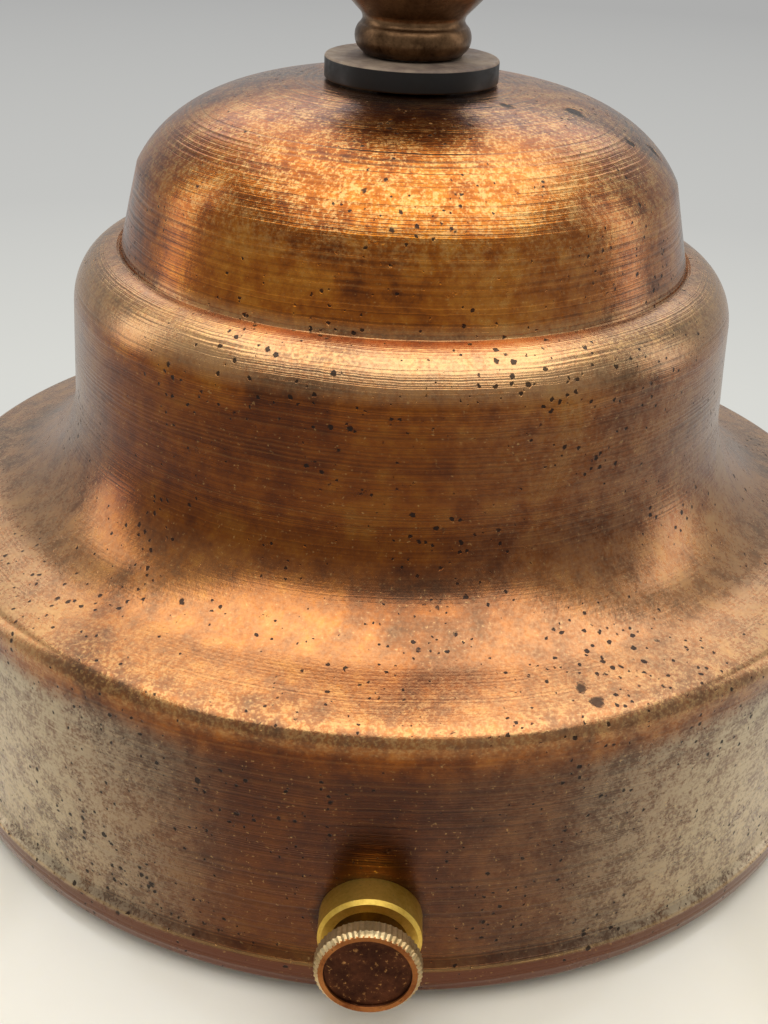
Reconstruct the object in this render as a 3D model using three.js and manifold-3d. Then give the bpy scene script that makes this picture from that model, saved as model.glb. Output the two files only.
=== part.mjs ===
// Pendant light: a stepped spun-copper gallery that clamps an opal glass shade with three thumbscrews,
// hung from a turned coupling and a loop. Millimetres, +Z up. The lamp stands on the shade's rim,
// so the origin is the centre of that rim and the axis of every turned piece is Z.

import * as THREE from "three";
import { mergeVertices } from "three/addons/utils/BufferGeometryUtils.js";
import Module from "manifold-3d";

const wasm = await Module();
wasm.setup();

// ---------------------------------------------------------------------------------------------
// Driving dimensions
// ---------------------------------------------------------------------------------------------

const GAP = 0.3; // clearance between pieces that touch

const shade = {
  rimRadius: 125, // outside, at the open foot
  height: 110, // foot to the gallery's rim
  wall: 4,
  neckRadius: 64.3,
  neckHeight: 22, // above the gallery's rim, up to the lip
  lipHeight: 4,
  lipStand: 1.9, // how far the lip stands out of the neck
  lipClearance: 0.9, // between the lip and the inside of the gallery's band
  sideTaper: 3, // how much narrower the haunch is than the foot
  shoulderSlope: 16, // degrees below level
  shoulderDrop: 0.9, // where neck and shoulder lines cross, below the gallery's rim
  neckFillet: 5,
  haunchFillet: 38,
};

const gallery = {
  wall: 0.9,
  hemStand: 1.06, // how far the hem stands out of the band
  hemHeight: 3.6,
  coveHeight: 1.4,
  ridgeStand: 0.76, // how far the ridge stands out of the band's foot
  ridgeHeight: 38.47, // where the band and flare lines cross
  ridgeFillet: 2.57,
  flareSlope: 14.4, // degrees
  stageRadius: 47.9,
  stageTopRadius: 46.92,
  stageHeight: 68.2,
  flareFillet: 15.9,
  shoulderWidth: 6.4,
  shoulderRise: 7.5,
  creaseDepth: 0.45,
  domeRadius: 40.1,
  domeBase: 74.3,
  domeHeight: 24.6,
  domeSidePower: 3.2,
  domeTopPower: 2.48,
  seatRadius: 15.5,
};

const tube = { radius: 4.9, bore: 3.4, below: 22, above: 25 };
const spacer = { radius: 11.9, thickness: 3.05 };
const coupling = {
  footRadius: 6.7,
  beadRadius: 7.9,
  beadHeight: 4.4,
  neckRadius: 6.9,
  neckHeight: 5,
  knopRadius: 15,
  knopHeight: 16,
  throatRadius: 7.6,
  throatHeight: 25,
  collarRadius: 9.6,
  height: 31,
  cableHole: 3,
};
const loop = { barRadius: 3, ringRadius: 13, footRadius: 8, footHeight: 6, spigotRadius: 3.1, spigotLength: 5 };
const innerWasher = { radius: 11, thickness: 1.2 };
const lockNut = { acrossFlats: 16, thickness: 5 };

const holder = {
  wall: 0.9,
  neckLength: 8,
  socketRoom: 5.4, // from the socket's outside to the skirt's outside
  capLength: 26,
  skirtLength: 30,
  ringStand: 2.4,
  ringLength: 5,
};
const insulator = { thickness: 12, contactPocket: 5.4 };
const socket = { clearance: 0.5, wall: 0.5, length: 25 };
const terminal = { headRadius: 2.6, headLength: 2.2, shankRadius: 1.5, shankLength: 4, offset: 10.6 };
const tongue = { radius: 3, thickness: 0.8, stemRadius: 1.2, stemLength: 6, travel: 1 };

const bulb = {
  capRadius: 13.2,
  capLength: 22,
  capWall: 0.5,
  endRadius: 8.2,
  endLength: 3,
  contactRadius: 4.6,
  contactLength: 1.2,
  globeRadius: 30,
  length: 105, // contact button to the far end of the glass
  glassWall: 0.8,
  stemRadius: 4,
  stemLength: 34,
  filamentRadius: 0.45,
  filamentRing: 11,
  hookClearance: 0.55,
  filamentHeight: 30,
};

const screw = {
  count: 3,
  height: 11.4, // axis above the gallery's rim
  headRadius: 6.4,
  headLength: 2.4,
  headStand: 9.6, // from the band to the head's face
  headBevel: 0.6,
  knurls: 36,
  knurlDepth: 0.28,
  faceRadius: 5.1,
  faceDepth: 0.35,
  shankRadius: 2,
};
const collar = { radius: 6.3, stand: 4.3, recessRadius: 4.7, recessDepth: 1.1, spigotRadius: 4.2 };

const LARGE_TURN = 40; // facets round the gallery and the shade
const SMALL_TURN = 24; // facets round a small turned piece

// ---------------------------------------------------------------------------------------------
// Radii and heights worked out from the sizes above
// ---------------------------------------------------------------------------------------------

const lipRadius = shade.neckRadius + shade.lipStand;
const bandRadius = lipRadius + shade.lipClearance + gallery.wall;
const hemRadius = bandRadius + gallery.hemStand;
const ridgeRadius = bandRadius + gallery.ridgeStand;
const collarFace = bandRadius + collar.stand;
const headFace = bandRadius + screw.headStand;
const socketRadius = bulb.capRadius + socket.clearance + socket.wall;
const holderRadius = socketRadius + holder.socketRoom;

const rimZ = shade.height;
const seatZ = rimZ + gallery.domeBase + domeRise(gallery.seatRadius);
const spacerZ = seatZ + GAP;
const couplingZ = spacerZ + spacer.thickness + GAP;
const loopZ = couplingZ + coupling.height + GAP;
const washerTopZ = seatZ - gallery.wall - GAP;
const nutTopZ = washerTopZ - innerWasher.thickness - GAP;
const capTopZ = nutTopZ - lockNut.thickness - GAP;
const capBottomZ = capTopZ - holder.capLength;
const insulatorTopZ = capBottomZ - GAP;
const insulatorBottomZ = insulatorTopZ - insulator.thickness;
const skirtTopZ = insulatorTopZ - GAP;
const tongueZ = insulatorBottomZ - GAP - tongue.travel;
const buttonTopZ = tongueZ - tongue.thickness - GAP;
const ringRadius = tube.radius + GAP; // bore of everything threaded on the tube

/** Height of the dome's surface above its base, at a radius. */
function domeRise(radius, inset = 0) {
  const side = radius / (gallery.domeRadius - inset);
  const cosine = side ** (gallery.domeSidePower / 2);
  const sine = Math.sqrt(1 - cosine * cosine);
  return (gallery.domeHeight - inset) * sine ** (2 / gallery.domeTopPower);
}

// ---------------------------------------------------------------------------------------------
// Outlines
// ---------------------------------------------------------------------------------------------

const vec = (x, y) => new THREE.Vector2(x, y);
const radians = THREE.MathUtils.degToRad;

/** Points of an ellipse's arc, ends included; angles in degrees from +x. */
function arc(centreX, centreY, radiusX, radiusY, from, to, steps) {
  return Array.from({ length: steps + 1 }, (_, i) => {
    const angle = radians(from + ((to - from) * i) / steps);
    return vec(centreX + radiusX * Math.cos(angle), centreY + radiusY * Math.sin(angle));
  });
}

/** Rounds the inner corners of an open line; each corner is [x, y, fillet]. */
function rounded(corners, step = 18) {
  return corners.flatMap(([x, y, fillet = 0], i) => {
    const corner = vec(x, y);
    if (fillet <= 0 || i === 0 || i === corners.length - 1) return [corner];
    const toPrevious = vec(...corners[i - 1]).sub(corner).normalize();
    const toNext = vec(...corners[i + 1]).sub(corner).normalize();
    const half = Math.acos(THREE.MathUtils.clamp(toPrevious.dot(toNext), -1, 1)) / 2;
    const centre = corner.clone().addScaledVector(toPrevious.clone().add(toNext).normalize(), fillet / Math.sin(half));
    const reach = fillet / Math.tan(half);
    const start = corner.clone().addScaledVector(toPrevious, reach).sub(centre).angle();
    const end = corner.clone().addScaledVector(toNext, reach).sub(centre).angle();
    const turn = THREE.MathUtils.euclideanModulo(end - start + Math.PI, 2 * Math.PI) - Math.PI;
    const steps = Math.max(1, Math.ceil(Math.abs(THREE.MathUtils.radToDeg(turn)) / step));
    const from = THREE.MathUtils.radToDeg(start);
    return arc(centre.x, centre.y, fillet, fillet, from, from + THREE.MathUtils.radToDeg(turn), steps);
  });
}

/** The line parallel to an open line of corners, a distance to its left; fillets stay concentric. */
function parallel(corners, distance) {
  const runs = corners.slice(1).map(([x, y], i) => {
    const along = vec(x - corners[i][0], y - corners[i][1]).normalize();
    const from = vec(corners[i][0] - along.y * distance, corners[i][1] + along.x * distance);
    return { along, from };
  });
  return corners.map(([x, y, fillet = 0], i) => {
    const before = runs[Math.max(i - 1, 0)];
    const after = runs[Math.min(i, runs.length - 1)];
    const turn = before.along.cross(after.along);
    if (Math.abs(turn) < 1e-9) {
      return [x - after.along.y * distance, y + after.along.x * distance, fillet];
    }
    const gapX = after.from.x - before.from.x;
    const gapY = after.from.y - before.from.y;
    const reach = (gapX * after.along.y - gapY * after.along.x) / turn;
    const bend = Math.max(fillet - Math.sign(turn) * distance, 0.05);
    return [before.from.x + before.along.x * reach, before.from.y + before.along.y * reach, fillet ? bend : 0];
  });
}

/** The gallery's surface from its hem up to the seat, moved in by an inset. */
function galleryLine(inset) {
  const slope = Math.tan(radians(gallery.flareSlope));
  const flareRise = (ridgeRadius - gallery.stageRadius) * slope;
  const foot = inset > 0
    ? [[bandRadius, 0], [bandRadius, gallery.hemHeight]]
    : [
      [hemRadius - 0.5, 0],
      [hemRadius, 0.7],
      [hemRadius, gallery.hemHeight, 0.4],
      [bandRadius, gallery.hemHeight + gallery.coveHeight, 1.2],
    ];
  const corners = [
    ...foot,
    [ridgeRadius, gallery.ridgeHeight, gallery.ridgeFillet],
    [gallery.stageRadius, gallery.ridgeHeight + flareRise, gallery.flareFillet],
    [gallery.stageTopRadius, gallery.stageHeight],
  ];
  const lower = rounded(inset > 0 ? parallel(corners, inset) : corners);
  const creaseRadius = gallery.stageTopRadius - gallery.shoulderWidth;
  const shoulder = arc(creaseRadius, gallery.stageHeight, gallery.shoulderWidth - inset, gallery.shoulderRise - inset, 0, 90, 5);
  const creaseZ = gallery.stageHeight + gallery.shoulderRise - gallery.creaseDepth - inset;
  const crease = vec(gallery.domeRadius - inset, creaseZ);
  const dome = Array.from({ length: 9 }, (_, i) => {
    const angle = radians(26 + (i * 60) / 8);
    const radius = (gallery.domeRadius - inset) * Math.cos(angle) ** (2 / gallery.domeSidePower);
    return vec(radius, gallery.domeBase + (gallery.domeHeight - inset) * Math.sin(angle) ** (2 / gallery.domeTopPower));
  }).filter((point) => point.x > gallery.seatRadius + 1);
  const seat = vec(gallery.seatRadius, gallery.domeBase + domeRise(gallery.seatRadius) - inset);
  return [...lower.slice(0, -1), ...shoulder, crease, ...dome, seat, vec(ringRadius, seat.y)];
}

// ---------------------------------------------------------------------------------------------
// Solids
// ---------------------------------------------------------------------------------------------

/** A closed mesh as a manifold solid. */
function toSolid(geometry) {
  const bare = geometry.clone();
  bare.deleteAttribute("normal");
  bare.deleteAttribute("uv");
  const merged = mergeVertices(bare, 1e-4);
  const index = merged.index.array;
  const kept = [];
  for (let i = 0; i < index.length; i += 3) {
    const [a, b, c] = index.subarray(i, i + 3);
    if (a !== b && b !== c && c !== a) kept.push(a, b, c);
  }
  const vertProperties = new Float32Array(merged.attributes.position.array);
  return new wasm.Manifold(new wasm.Mesh({ numProp: 3, vertProperties, triVerts: new Uint32Array(kept) }));
}

/** A manifold solid as a three.js geometry. */
function toGeometry(solid) {
  const mesh = solid.getMesh();
  const geometry = new THREE.BufferGeometry();
  geometry.setAttribute("position", new THREE.BufferAttribute(new Float32Array(mesh.vertProperties), 3));
  geometry.setIndex(new THREE.BufferAttribute(new Uint32Array(mesh.triVerts), 1));
  geometry.computeVertexNormals();
  return geometry;
}

/** Turns a mesh's faces outwards when its signed volume says that they point in. */
function facingOut(geometry) {
  const index = geometry.index.array;
  const at = geometry.attributes.position;
  const [a, b, c] = [new THREE.Vector3(), new THREE.Vector3(), new THREE.Vector3()];
  let volume = 0;
  for (let i = 0; i < index.length; i += 3) {
    a.fromBufferAttribute(at, index[i]);
    b.fromBufferAttribute(at, index[i + 1]);
    c.fromBufferAttribute(at, index[i + 2]);
    volume += a.dot(b.cross(c));
  }
  if (volume < 0) index.reverse();
  return geometry;
}

/** A profile of (radius, height) points turned about Z; it closes on itself or ends on the axis. */
function turned(profile, facets = SMALL_TURN) {
  const onAxis = profile[0].x < 1e-6;
  const points = onAxis ? profile : [...profile, profile[0].clone()];
  return facingOut(new THREE.LatheGeometry(points, facets).rotateX(Math.PI / 2));
}

/** A ring or, with no bore, a disc between two heights. */
function ring(radius, bore, bottom, top, facets = SMALL_TURN) {
  const outer = [vec(radius, bottom), vec(radius, top)];
  return turned(bore ? [vec(bore, bottom), ...outer, vec(bore, top)] : [vec(0, bottom), ...outer, vec(0, top)], facets);
}

/** A turned wall: an open line of corners, thickened to its left. */
function turnedWall(corners, wall, facets = SMALL_TURN) {
  return turned([...rounded(corners), ...rounded(parallel(corners, wall)).reverse()], facets);
}

/** A flat outline of points raised from one height to another. */
function raised(points, bottom, top) {
  const shape = new THREE.Shape(points);
  return new THREE.ExtrudeGeometry(shape, { depth: top - bottom, bevelEnabled: false }).translate(0, 0, bottom);
}

/** The first solid with every other one cut out of it. */
const cut = (geometry, ...tools) => toGeometry(tools.reduce((body, tool) => body.subtract(toSolid(tool)), toSolid(geometry)));

/** Solids joined into one. */
const join = (...parts) => toGeometry(parts.map(toSolid).reduce((body, part) => body.add(part)));

const group = new THREE.Group();

/** Adds a named piece to the lamp. */
function piece(name, geometry, finish) {
  const mesh = new THREE.Mesh(geometry, new THREE.MeshStandardMaterial(finish));
  mesh.name = name;
  group.add(mesh);
}

const COPPER = { color: 0x8a4f2a, roughness: 0.38, metalness: 1 };
const BRONZE = { color: 0x4a2c1c, roughness: 0.4, metalness: 1 };
const BLACK = { color: 0x1d1a18, roughness: 0.5, metalness: 0 };
const BRASS = { color: 0xb08d45, roughness: 0.35, metalness: 1 };
const STEEL = { color: 0x8d8f8e, roughness: 0.4, metalness: 1 };
const OPAL = { color: 0xf0e7d8, roughness: 0.12, metalness: 0 };
const PORCELAIN = { color: 0xece8df, roughness: 0.3, metalness: 0 };
const CLEAR = { color: 0xeaf1f2, roughness: 0.05, metalness: 0, transparent: true, opacity: 0.3 };
const TUNGSTEN = { color: 0x55504a, roughness: 0.5, metalness: 1 };

// ---------------------------------------------------------------------------------------------
// Gallery and shade
// ---------------------------------------------------------------------------------------------

const screwTurns = Array.from({ length: screw.count }, (_, i) => (i * 2 * Math.PI) / screw.count);

/** A turned piece on a thumbscrew's axis: the profile is (radius, distance from the lamp's axis). */
function onScrewAxis(profile, turn = 0, facets = SMALL_TURN) {
  return turned(profile, facets).rotateX(Math.PI / 2).translate(0, 0, rimZ + screw.height).rotateZ(turn);
}

/** The gallery's hem, band, flare, stage, shoulder and dome, spun from one sheet. */
function galleryShell() {
  const outer = galleryLine(0);
  const inner = galleryLine(gallery.wall);
  const shell = turned([...outer, ...inner.reverse()], LARGE_TURN).translate(0, 0, rimZ);
  const spigotHole = collar.spigotRadius + GAP;
  const holes = screwTurns.map((turn) => onScrewAxis([
    vec(0, bandRadius - 8),
    vec(spigotHole, bandRadius - 8),
    vec(spigotHole, bandRadius + 8),
    vec(0, bandRadius + 8),
  ], turn));
  return cut(shell, ...holes);
}

/** The shade's outer line from its lip down to its foot, for a wall thickened inwards. */
function shadeShell() {
  const top = rimZ + shade.neckHeight;
  const cross = rimZ - shade.shoulderDrop;
  const haunchRadius = shade.rimRadius - shade.sideTaper;
  const fall = (haunchRadius - shade.neckRadius) * Math.tan(radians(shade.shoulderSlope));
  const line = [
    [shade.rimRadius, 0],
    [haunchRadius, cross - fall, shade.haunchFillet],
    [shade.neckRadius, cross, shade.neckFillet],
    [shade.neckRadius, top],
  ];
  const outer = rounded(line, 15);
  const inner = rounded(parallel(line, shade.wall), 15);
  const bore = shade.neckRadius - shade.wall;
  const lip = [
    vec(lipRadius, top + shade.lipStand),
    vec(lipRadius, top + shade.lipHeight - 1),
    vec(lipRadius - 1, top + shade.lipHeight),
    vec(bore, top + shade.lipHeight),
  ];
  inner[0].y = 0;
  return turned([...outer, ...lip, ...inner.reverse().slice(1)], LARGE_TURN);
}

piece("gallery_shell", galleryShell(), COPPER);
piece("glass_shade", shadeShell(), OPAL);

// ---------------------------------------------------------------------------------------------
// Thumbscrews and the collars they run in
// ---------------------------------------------------------------------------------------------

const screwNames = ["front", "right", "left"];
const neckContact = shade.neckRadius + GAP;
const shankBore = screw.shankRadius + GAP;

/** A collar: saddled on the band, with a spigot through it and a recess in its face. */
function screwCollar(turn) {
  const spigotEnd = bandRadius - gallery.wall - GAP;
  const root = bandRadius - 2;
  const body = onScrewAxis([
    vec(0, root),
    vec(collar.radius, root),
    vec(collar.radius, collarFace - 0.4),
    vec(collar.radius - 0.4, collarFace),
    vec(0, collarFace),
  ], turn);
  const clearLine = parallel([
    [hemRadius, -1],
    [hemRadius, gallery.hemHeight],
    [bandRadius, gallery.hemHeight + gallery.coveHeight],
    [ridgeRadius, gallery.ridgeHeight],
  ], -GAP);
  const saddle = turned([
    vec(0, clearLine[0][1]),
    ...clearLine.map(([x, y]) => vec(x, y)),
    vec(0, clearLine[3][1]),
  ], LARGE_TURN).translate(0, 0, rimZ);
  const spigot = onScrewAxis([
    vec(0, spigotEnd),
    vec(collar.spigotRadius, spigotEnd),
    vec(collar.spigotRadius, collarFace - 2),
    vec(0, collarFace - 2),
  ], turn);
  const bore = onScrewAxis([
    vec(0, spigotEnd - 1),
    vec(shankBore, spigotEnd - 1),
    vec(shankBore, collarFace - collar.recessDepth),
    vec(collar.recessRadius, collarFace - collar.recessDepth),
    vec(collar.recessRadius, collarFace + 1),
    vec(0, collarFace + 1),
  ], turn);
  return toGeometry(toSolid(body).subtract(toSolid(saddle)).add(toSolid(spigot)).subtract(toSolid(bore)));
}

/** A thumbscrew: a knurled head with a recessed face, and a plain shank for its thread. */
function thumbscrew(turn) {
  const back = headFace - screw.headLength;
  const teeth = Array.from({ length: screw.knurls * 2 }, (_, i) => {
    const radius = screw.headRadius - (i % 2) * screw.knurlDepth;
    const angle = (i * Math.PI) / screw.knurls;
    return vec(radius * Math.cos(angle), radius * Math.sin(angle));
  });
  const knurled = raised(teeth, back, headFace - screw.headBevel)
    .rotateX(Math.PI / 2).translate(0, 0, rimZ + screw.height).rotateZ(turn);
  const rest = onScrewAxis([
    vec(0, neckContact),
    vec(screw.shankRadius - 0.5, neckContact),
    vec(screw.shankRadius, neckContact + 0.8),
    vec(screw.shankRadius, back + 0.5),
    vec(screw.headRadius - screw.knurlDepth - 0.1, back + 0.5),
    vec(screw.headRadius - screw.knurlDepth - 0.1, headFace - screw.headBevel - 0.1),
    vec(screw.headRadius - screw.headBevel, headFace),
    vec(screw.faceRadius, headFace),
    vec(screw.faceRadius, headFace - screw.faceDepth),
    vec(0, headFace - screw.faceDepth),
  ], turn);
  return join(knurled, rest);
}

screwTurns.forEach((turn, i) => {
  piece(`screw_collar_${screwNames[i]}`, screwCollar(turn), BRASS);
  piece(`thumbscrew_${screwNames[i]}`, thumbscrew(turn), BRASS);
});

// ---------------------------------------------------------------------------------------------
// Suspension: tube, spacer, coupling, loop, washer and nut
// ---------------------------------------------------------------------------------------------

/** The turned coupling: foot, bead, neck, trumpet, knop, throat and collar round a bore. */
function turnedCoupling() {
  const c = coupling;
  const z = couplingZ;
  const bead = arc(c.footRadius - 0.3, z + c.beadHeight / 2, c.beadRadius - c.footRadius + 0.3, c.beadHeight / 2 - 0.2, -60, 60, 6);
  const trumpetTop = z + c.knopHeight - 5;
  const trumpet = arc(c.knopRadius - 0.6, z + c.neckHeight, c.knopRadius - 0.6 - c.neckRadius, trumpetTop - z - c.neckHeight, 180, 100, 6);
  const knop = arc(c.throatRadius, z + c.knopHeight, c.knopRadius - c.throatRadius, 4.4, -40, 80, 8);
  const line = [
    vec(c.footRadius, z),
    ...bead,
    ...trumpet,
    ...knop,
    vec(c.throatRadius, z + c.knopHeight + 5),
    vec(c.throatRadius, z + c.throatHeight),
    vec(c.collarRadius - 0.8, z + c.throatHeight + 1),
    vec(c.collarRadius, z + c.throatHeight + 2),
    vec(c.collarRadius, z + c.height - 1),
    vec(c.collarRadius - 1, z + c.height),
    vec(ringRadius, z + c.height),
    vec(ringRadius, z),
  ];
  const body = turned(line, SMALL_TURN);
  const cableHole = ring(c.cableHole, 0, 0, c.knopRadius, 16)
    .rotateX(-Math.PI / 2).translate(0, 0, z + (c.throatHeight + c.knopHeight + 5) / 2 - 0.5);
  return cut(body, cableHole);
}

/** The hanging loop: a ring on a round foot, with a spigot into the coupling's bore. */
function hangingLoop() {
  const foot = turned([
    vec(0, loopZ - loop.spigotLength),
    vec(loop.spigotRadius, loopZ - loop.spigotLength),
    vec(loop.spigotRadius, loopZ),
    vec(loop.footRadius, loopZ),
    vec(loop.footRadius, loopZ + 1.5),
    vec(loop.barRadius + 1.2, loopZ + loop.footHeight),
    vec(0, loopZ + loop.footHeight),
  ]);
  const centreZ = loopZ + loop.footHeight + loop.ringRadius + loop.barRadius - 2;
  const bar = new THREE.TorusGeometry(loop.ringRadius, loop.barRadius, 12, 32).rotateX(Math.PI / 2).translate(0, 0, centreZ);
  return join(foot, bar);
}

/** The lock nut: a hexagon with a round bore. */
function hexNut(top) {
  const corner = lockNut.acrossFlats / 2 / Math.cos(Math.PI / 6);
  const bottom = top - lockNut.thickness;
  const hexagon = Array.from({ length: 6 }, (_, i) => vec(corner * Math.cos((i * Math.PI) / 3), corner * Math.sin((i * Math.PI) / 3)));
  return cut(raised(hexagon, bottom, top), ring(ringRadius, 0, bottom - 1, top + 1));
}

const tubeTopZ = couplingZ + tube.above - loop.spigotLength;
piece("threaded_tube", ring(tube.radius, tube.bore, seatZ - tube.below, tubeTopZ), STEEL);
piece("spacer_disc", ring(spacer.radius, ringRadius, spacerZ, spacerZ + spacer.thickness, 36), BLACK);
piece("turned_coupling", turnedCoupling(), BRONZE);
piece("hanging_loop", hangingLoop(), BRONZE);
piece("inner_washer", ring(innerWasher.radius, ringRadius, washerTopZ - innerWasher.thickness, washerTopZ), STEEL);
piece("lock_nut", hexNut(nutTopZ), BRASS);

// ---------------------------------------------------------------------------------------------
// Lampholder
// ---------------------------------------------------------------------------------------------

const holderNeckRadius = ringRadius + holder.wall;
piece("lampholder_cap", turnedWall([
  [holderRadius, capBottomZ],
  [holderRadius, capBottomZ + 10, 8],
  [holderNeckRadius, capTopZ - holder.neckLength, 3],
  [holderNeckRadius, capTopZ],
], holder.wall), BRASS);

const skirtRadius = holderRadius;
const skirtBottomZ = skirtTopZ - holder.skirtLength;
piece("lampholder_skirt", ring(skirtRadius, skirtRadius - holder.wall, skirtBottomZ, skirtTopZ), BRASS);
piece("retaining_ring", turned([
  vec(skirtRadius + GAP, skirtBottomZ + 1),
  vec(skirtRadius + holder.ringStand, skirtBottomZ + 1),
  vec(skirtRadius + holder.ringStand + 0.8, skirtBottomZ + 1 + holder.ringLength / 2),
  vec(skirtRadius + holder.ringStand, skirtBottomZ + 1 + holder.ringLength),
  vec(skirtRadius + GAP, skirtBottomZ + 1 + holder.ringLength),
]), BRASS);

const blockRadius = skirtRadius - holder.wall - GAP;
const holeTool = (x, radius, bottom, top) => ring(radius, 0, bottom, top, 12).translate(x, 0, 0);
const terminalBottomZ = insulatorTopZ - terminal.shankLength;
piece("insulator_block", cut(
  ring(blockRadius, 0, insulatorBottomZ, insulatorTopZ),
  holeTool(0, insulator.contactPocket, insulatorBottomZ - 1, insulatorBottomZ + tongue.travel + GAP + 0.5),
  holeTool(0, tongue.stemRadius + GAP, insulatorBottomZ - 1, insulatorTopZ + 1),
  holeTool(terminal.offset, terminal.shankRadius + GAP, terminalBottomZ - GAP, insulatorTopZ + 1),
  holeTool(-terminal.offset, terminal.shankRadius + GAP, terminalBottomZ - GAP, insulatorTopZ + 1),
), PORCELAIN);

const terminalProfile = [
  vec(0, terminalBottomZ),
  vec(terminal.shankRadius, terminalBottomZ),
  vec(terminal.shankRadius, insulatorTopZ + GAP),
  vec(terminal.headRadius, insulatorTopZ + GAP),
  vec(terminal.headRadius, insulatorTopZ + GAP + terminal.headLength),
  vec(0, insulatorTopZ + GAP + terminal.headLength),
];
[1, -1].forEach((side, i) => {
  piece(`terminal_screw_${i + 1}`, turned(terminalProfile, 12).translate(side * terminal.offset, 0, 0), BRASS);
});

piece("socket_shell", turned([
  vec(socketRadius, insulatorBottomZ - GAP),
  vec(socketRadius, insulatorBottomZ - GAP - socket.length),
  vec(socketRadius - socket.wall, insulatorBottomZ - GAP - socket.length),
  vec(socketRadius - socket.wall, insulatorBottomZ - GAP - socket.wall),
  vec(insulator.contactPocket + 1, insulatorBottomZ - GAP - socket.wall),
  vec(insulator.contactPocket + 1, insulatorBottomZ - GAP),
]), BRASS);

piece("contact_tongue", turned([
  vec(0, tongueZ - tongue.thickness),
  vec(tongue.radius, tongueZ - tongue.thickness),
  vec(tongue.radius, tongueZ),
  vec(tongue.stemRadius, tongueZ),
  vec(tongue.stemRadius, tongueZ + tongue.stemLength),
  vec(0, tongueZ + tongue.stemLength),
], 16), BRASS);

// ---------------------------------------------------------------------------------------------
// Bulb
// ---------------------------------------------------------------------------------------------

const capStartZ = buttonTopZ - bulb.contactLength - GAP - bulb.endLength - GAP;
const capEndZ = capStartZ - bulb.capLength;
const globeEndZ = buttonTopZ - bulb.length;
const globeCentreZ = globeEndZ + bulb.globeRadius;
const glassNeck = bulb.capRadius - bulb.capWall - GAP;

piece("bulb_contact", ring(bulb.contactRadius, 0, buttonTopZ - bulb.contactLength, buttonTopZ, 16), STEEL);
piece("bulb_insulator", ring(bulb.endRadius, 0, capStartZ + GAP, capStartZ + GAP + bulb.endLength, 20), BLACK);
piece("bulb_cap", turned([
  vec(bulb.capRadius, capEndZ),
  vec(bulb.capRadius, capStartZ - 3),
  vec(bulb.endRadius + 1, capStartZ),
  vec(bulb.endRadius - 2, capStartZ),
  vec(bulb.endRadius - 2, capStartZ - bulb.capWall),
  vec(bulb.endRadius + 0.8, capStartZ - bulb.capWall),
  vec(bulb.capRadius - bulb.capWall, capStartZ - 3.2),
  vec(bulb.capRadius - bulb.capWall, capEndZ),
]), BRASS);

/** The bulb's glass: a ball that runs up into a neck inside the cap, open at the neck's end. */
function bulbEnvelope() {
  const neckTop = capEndZ + 14;
  const line = (inset) => {
    const radius = bulb.globeRadius - inset;
    const ball = arc(0, globeCentreZ, radius, radius, -90, 40, 11);
    ball[0].x = 0;
    return [...ball, vec(glassNeck + 3 - inset, capEndZ - 9), vec(glassNeck - inset, capEndZ - 1), vec(glassNeck - inset, neckTop)];
  };
  return turned([...line(0), ...line(bulb.glassWall).reverse()], SMALL_TURN);
}

/** The glass stem that holds the filament, flared where it joins the neck. */
function bulbStem() {
  const top = capEndZ + 10;
  return turned([
    vec(0, top - bulb.stemLength),
    vec(bulb.stemRadius * 0.6, top - bulb.stemLength),
    vec(bulb.stemRadius, top - bulb.stemLength + 4),
    vec(bulb.stemRadius, top - 8),
    vec(glassNeck - bulb.glassWall - GAP, top),
    vec(0, top),
  ], 16);
}

/** The filament: one wire carried up and down round the stem. */
function filament() {
  const runs = 8;
  const hookRadius = bulb.stemRadius + bulb.filamentRadius + bulb.hookClearance;
  const low = capEndZ + 10 - bulb.stemLength - bulb.filamentHeight + 6;
  const points = Array.from({ length: runs * 2 }, (_, i) => {
    const angle = (Math.floor(i / 2) * 2 * Math.PI * 0.9) / (runs - 1);
    const high = Math.floor((i + 1) / 2) % 2 === 1;
    const radius = high ? hookRadius : bulb.filamentRing;
    return new THREE.Vector3(radius * Math.cos(angle), radius * Math.sin(angle), low + (high ? bulb.filamentHeight : 0));
  });
  const path = new THREE.CatmullRomCurve3(points, false, "catmullrom", 0.2);
  const section = new THREE.Shape(arc(0, 0, bulb.filamentRadius, bulb.filamentRadius, 0, 300, 5));
  return new THREE.ExtrudeGeometry(section, { steps: 64, bevelEnabled: false, extrudePath: path });
}

piece("bulb_envelope", bulbEnvelope(), CLEAR);
piece("bulb_stem", bulbStem(), CLEAR);
piece("bulb_filament", filament(), TUNGSTEN);

export default group;
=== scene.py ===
"""Looks of a pendant light: spun copper gallery, opal glass shade, thumbscrews and turned coupling.

Every new piece is a turned or swept surface on a grid, worked out with numpy in millimetres from the
dataclass fields below and from the frame's own boxes, and written to its mesh in metres.
"""

from __future__ import annotations

import logging
import math
from dataclasses import dataclass, field
from enum import Enum

import bpy
import numpy as np
from mathutils import Matrix, Vector

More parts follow.
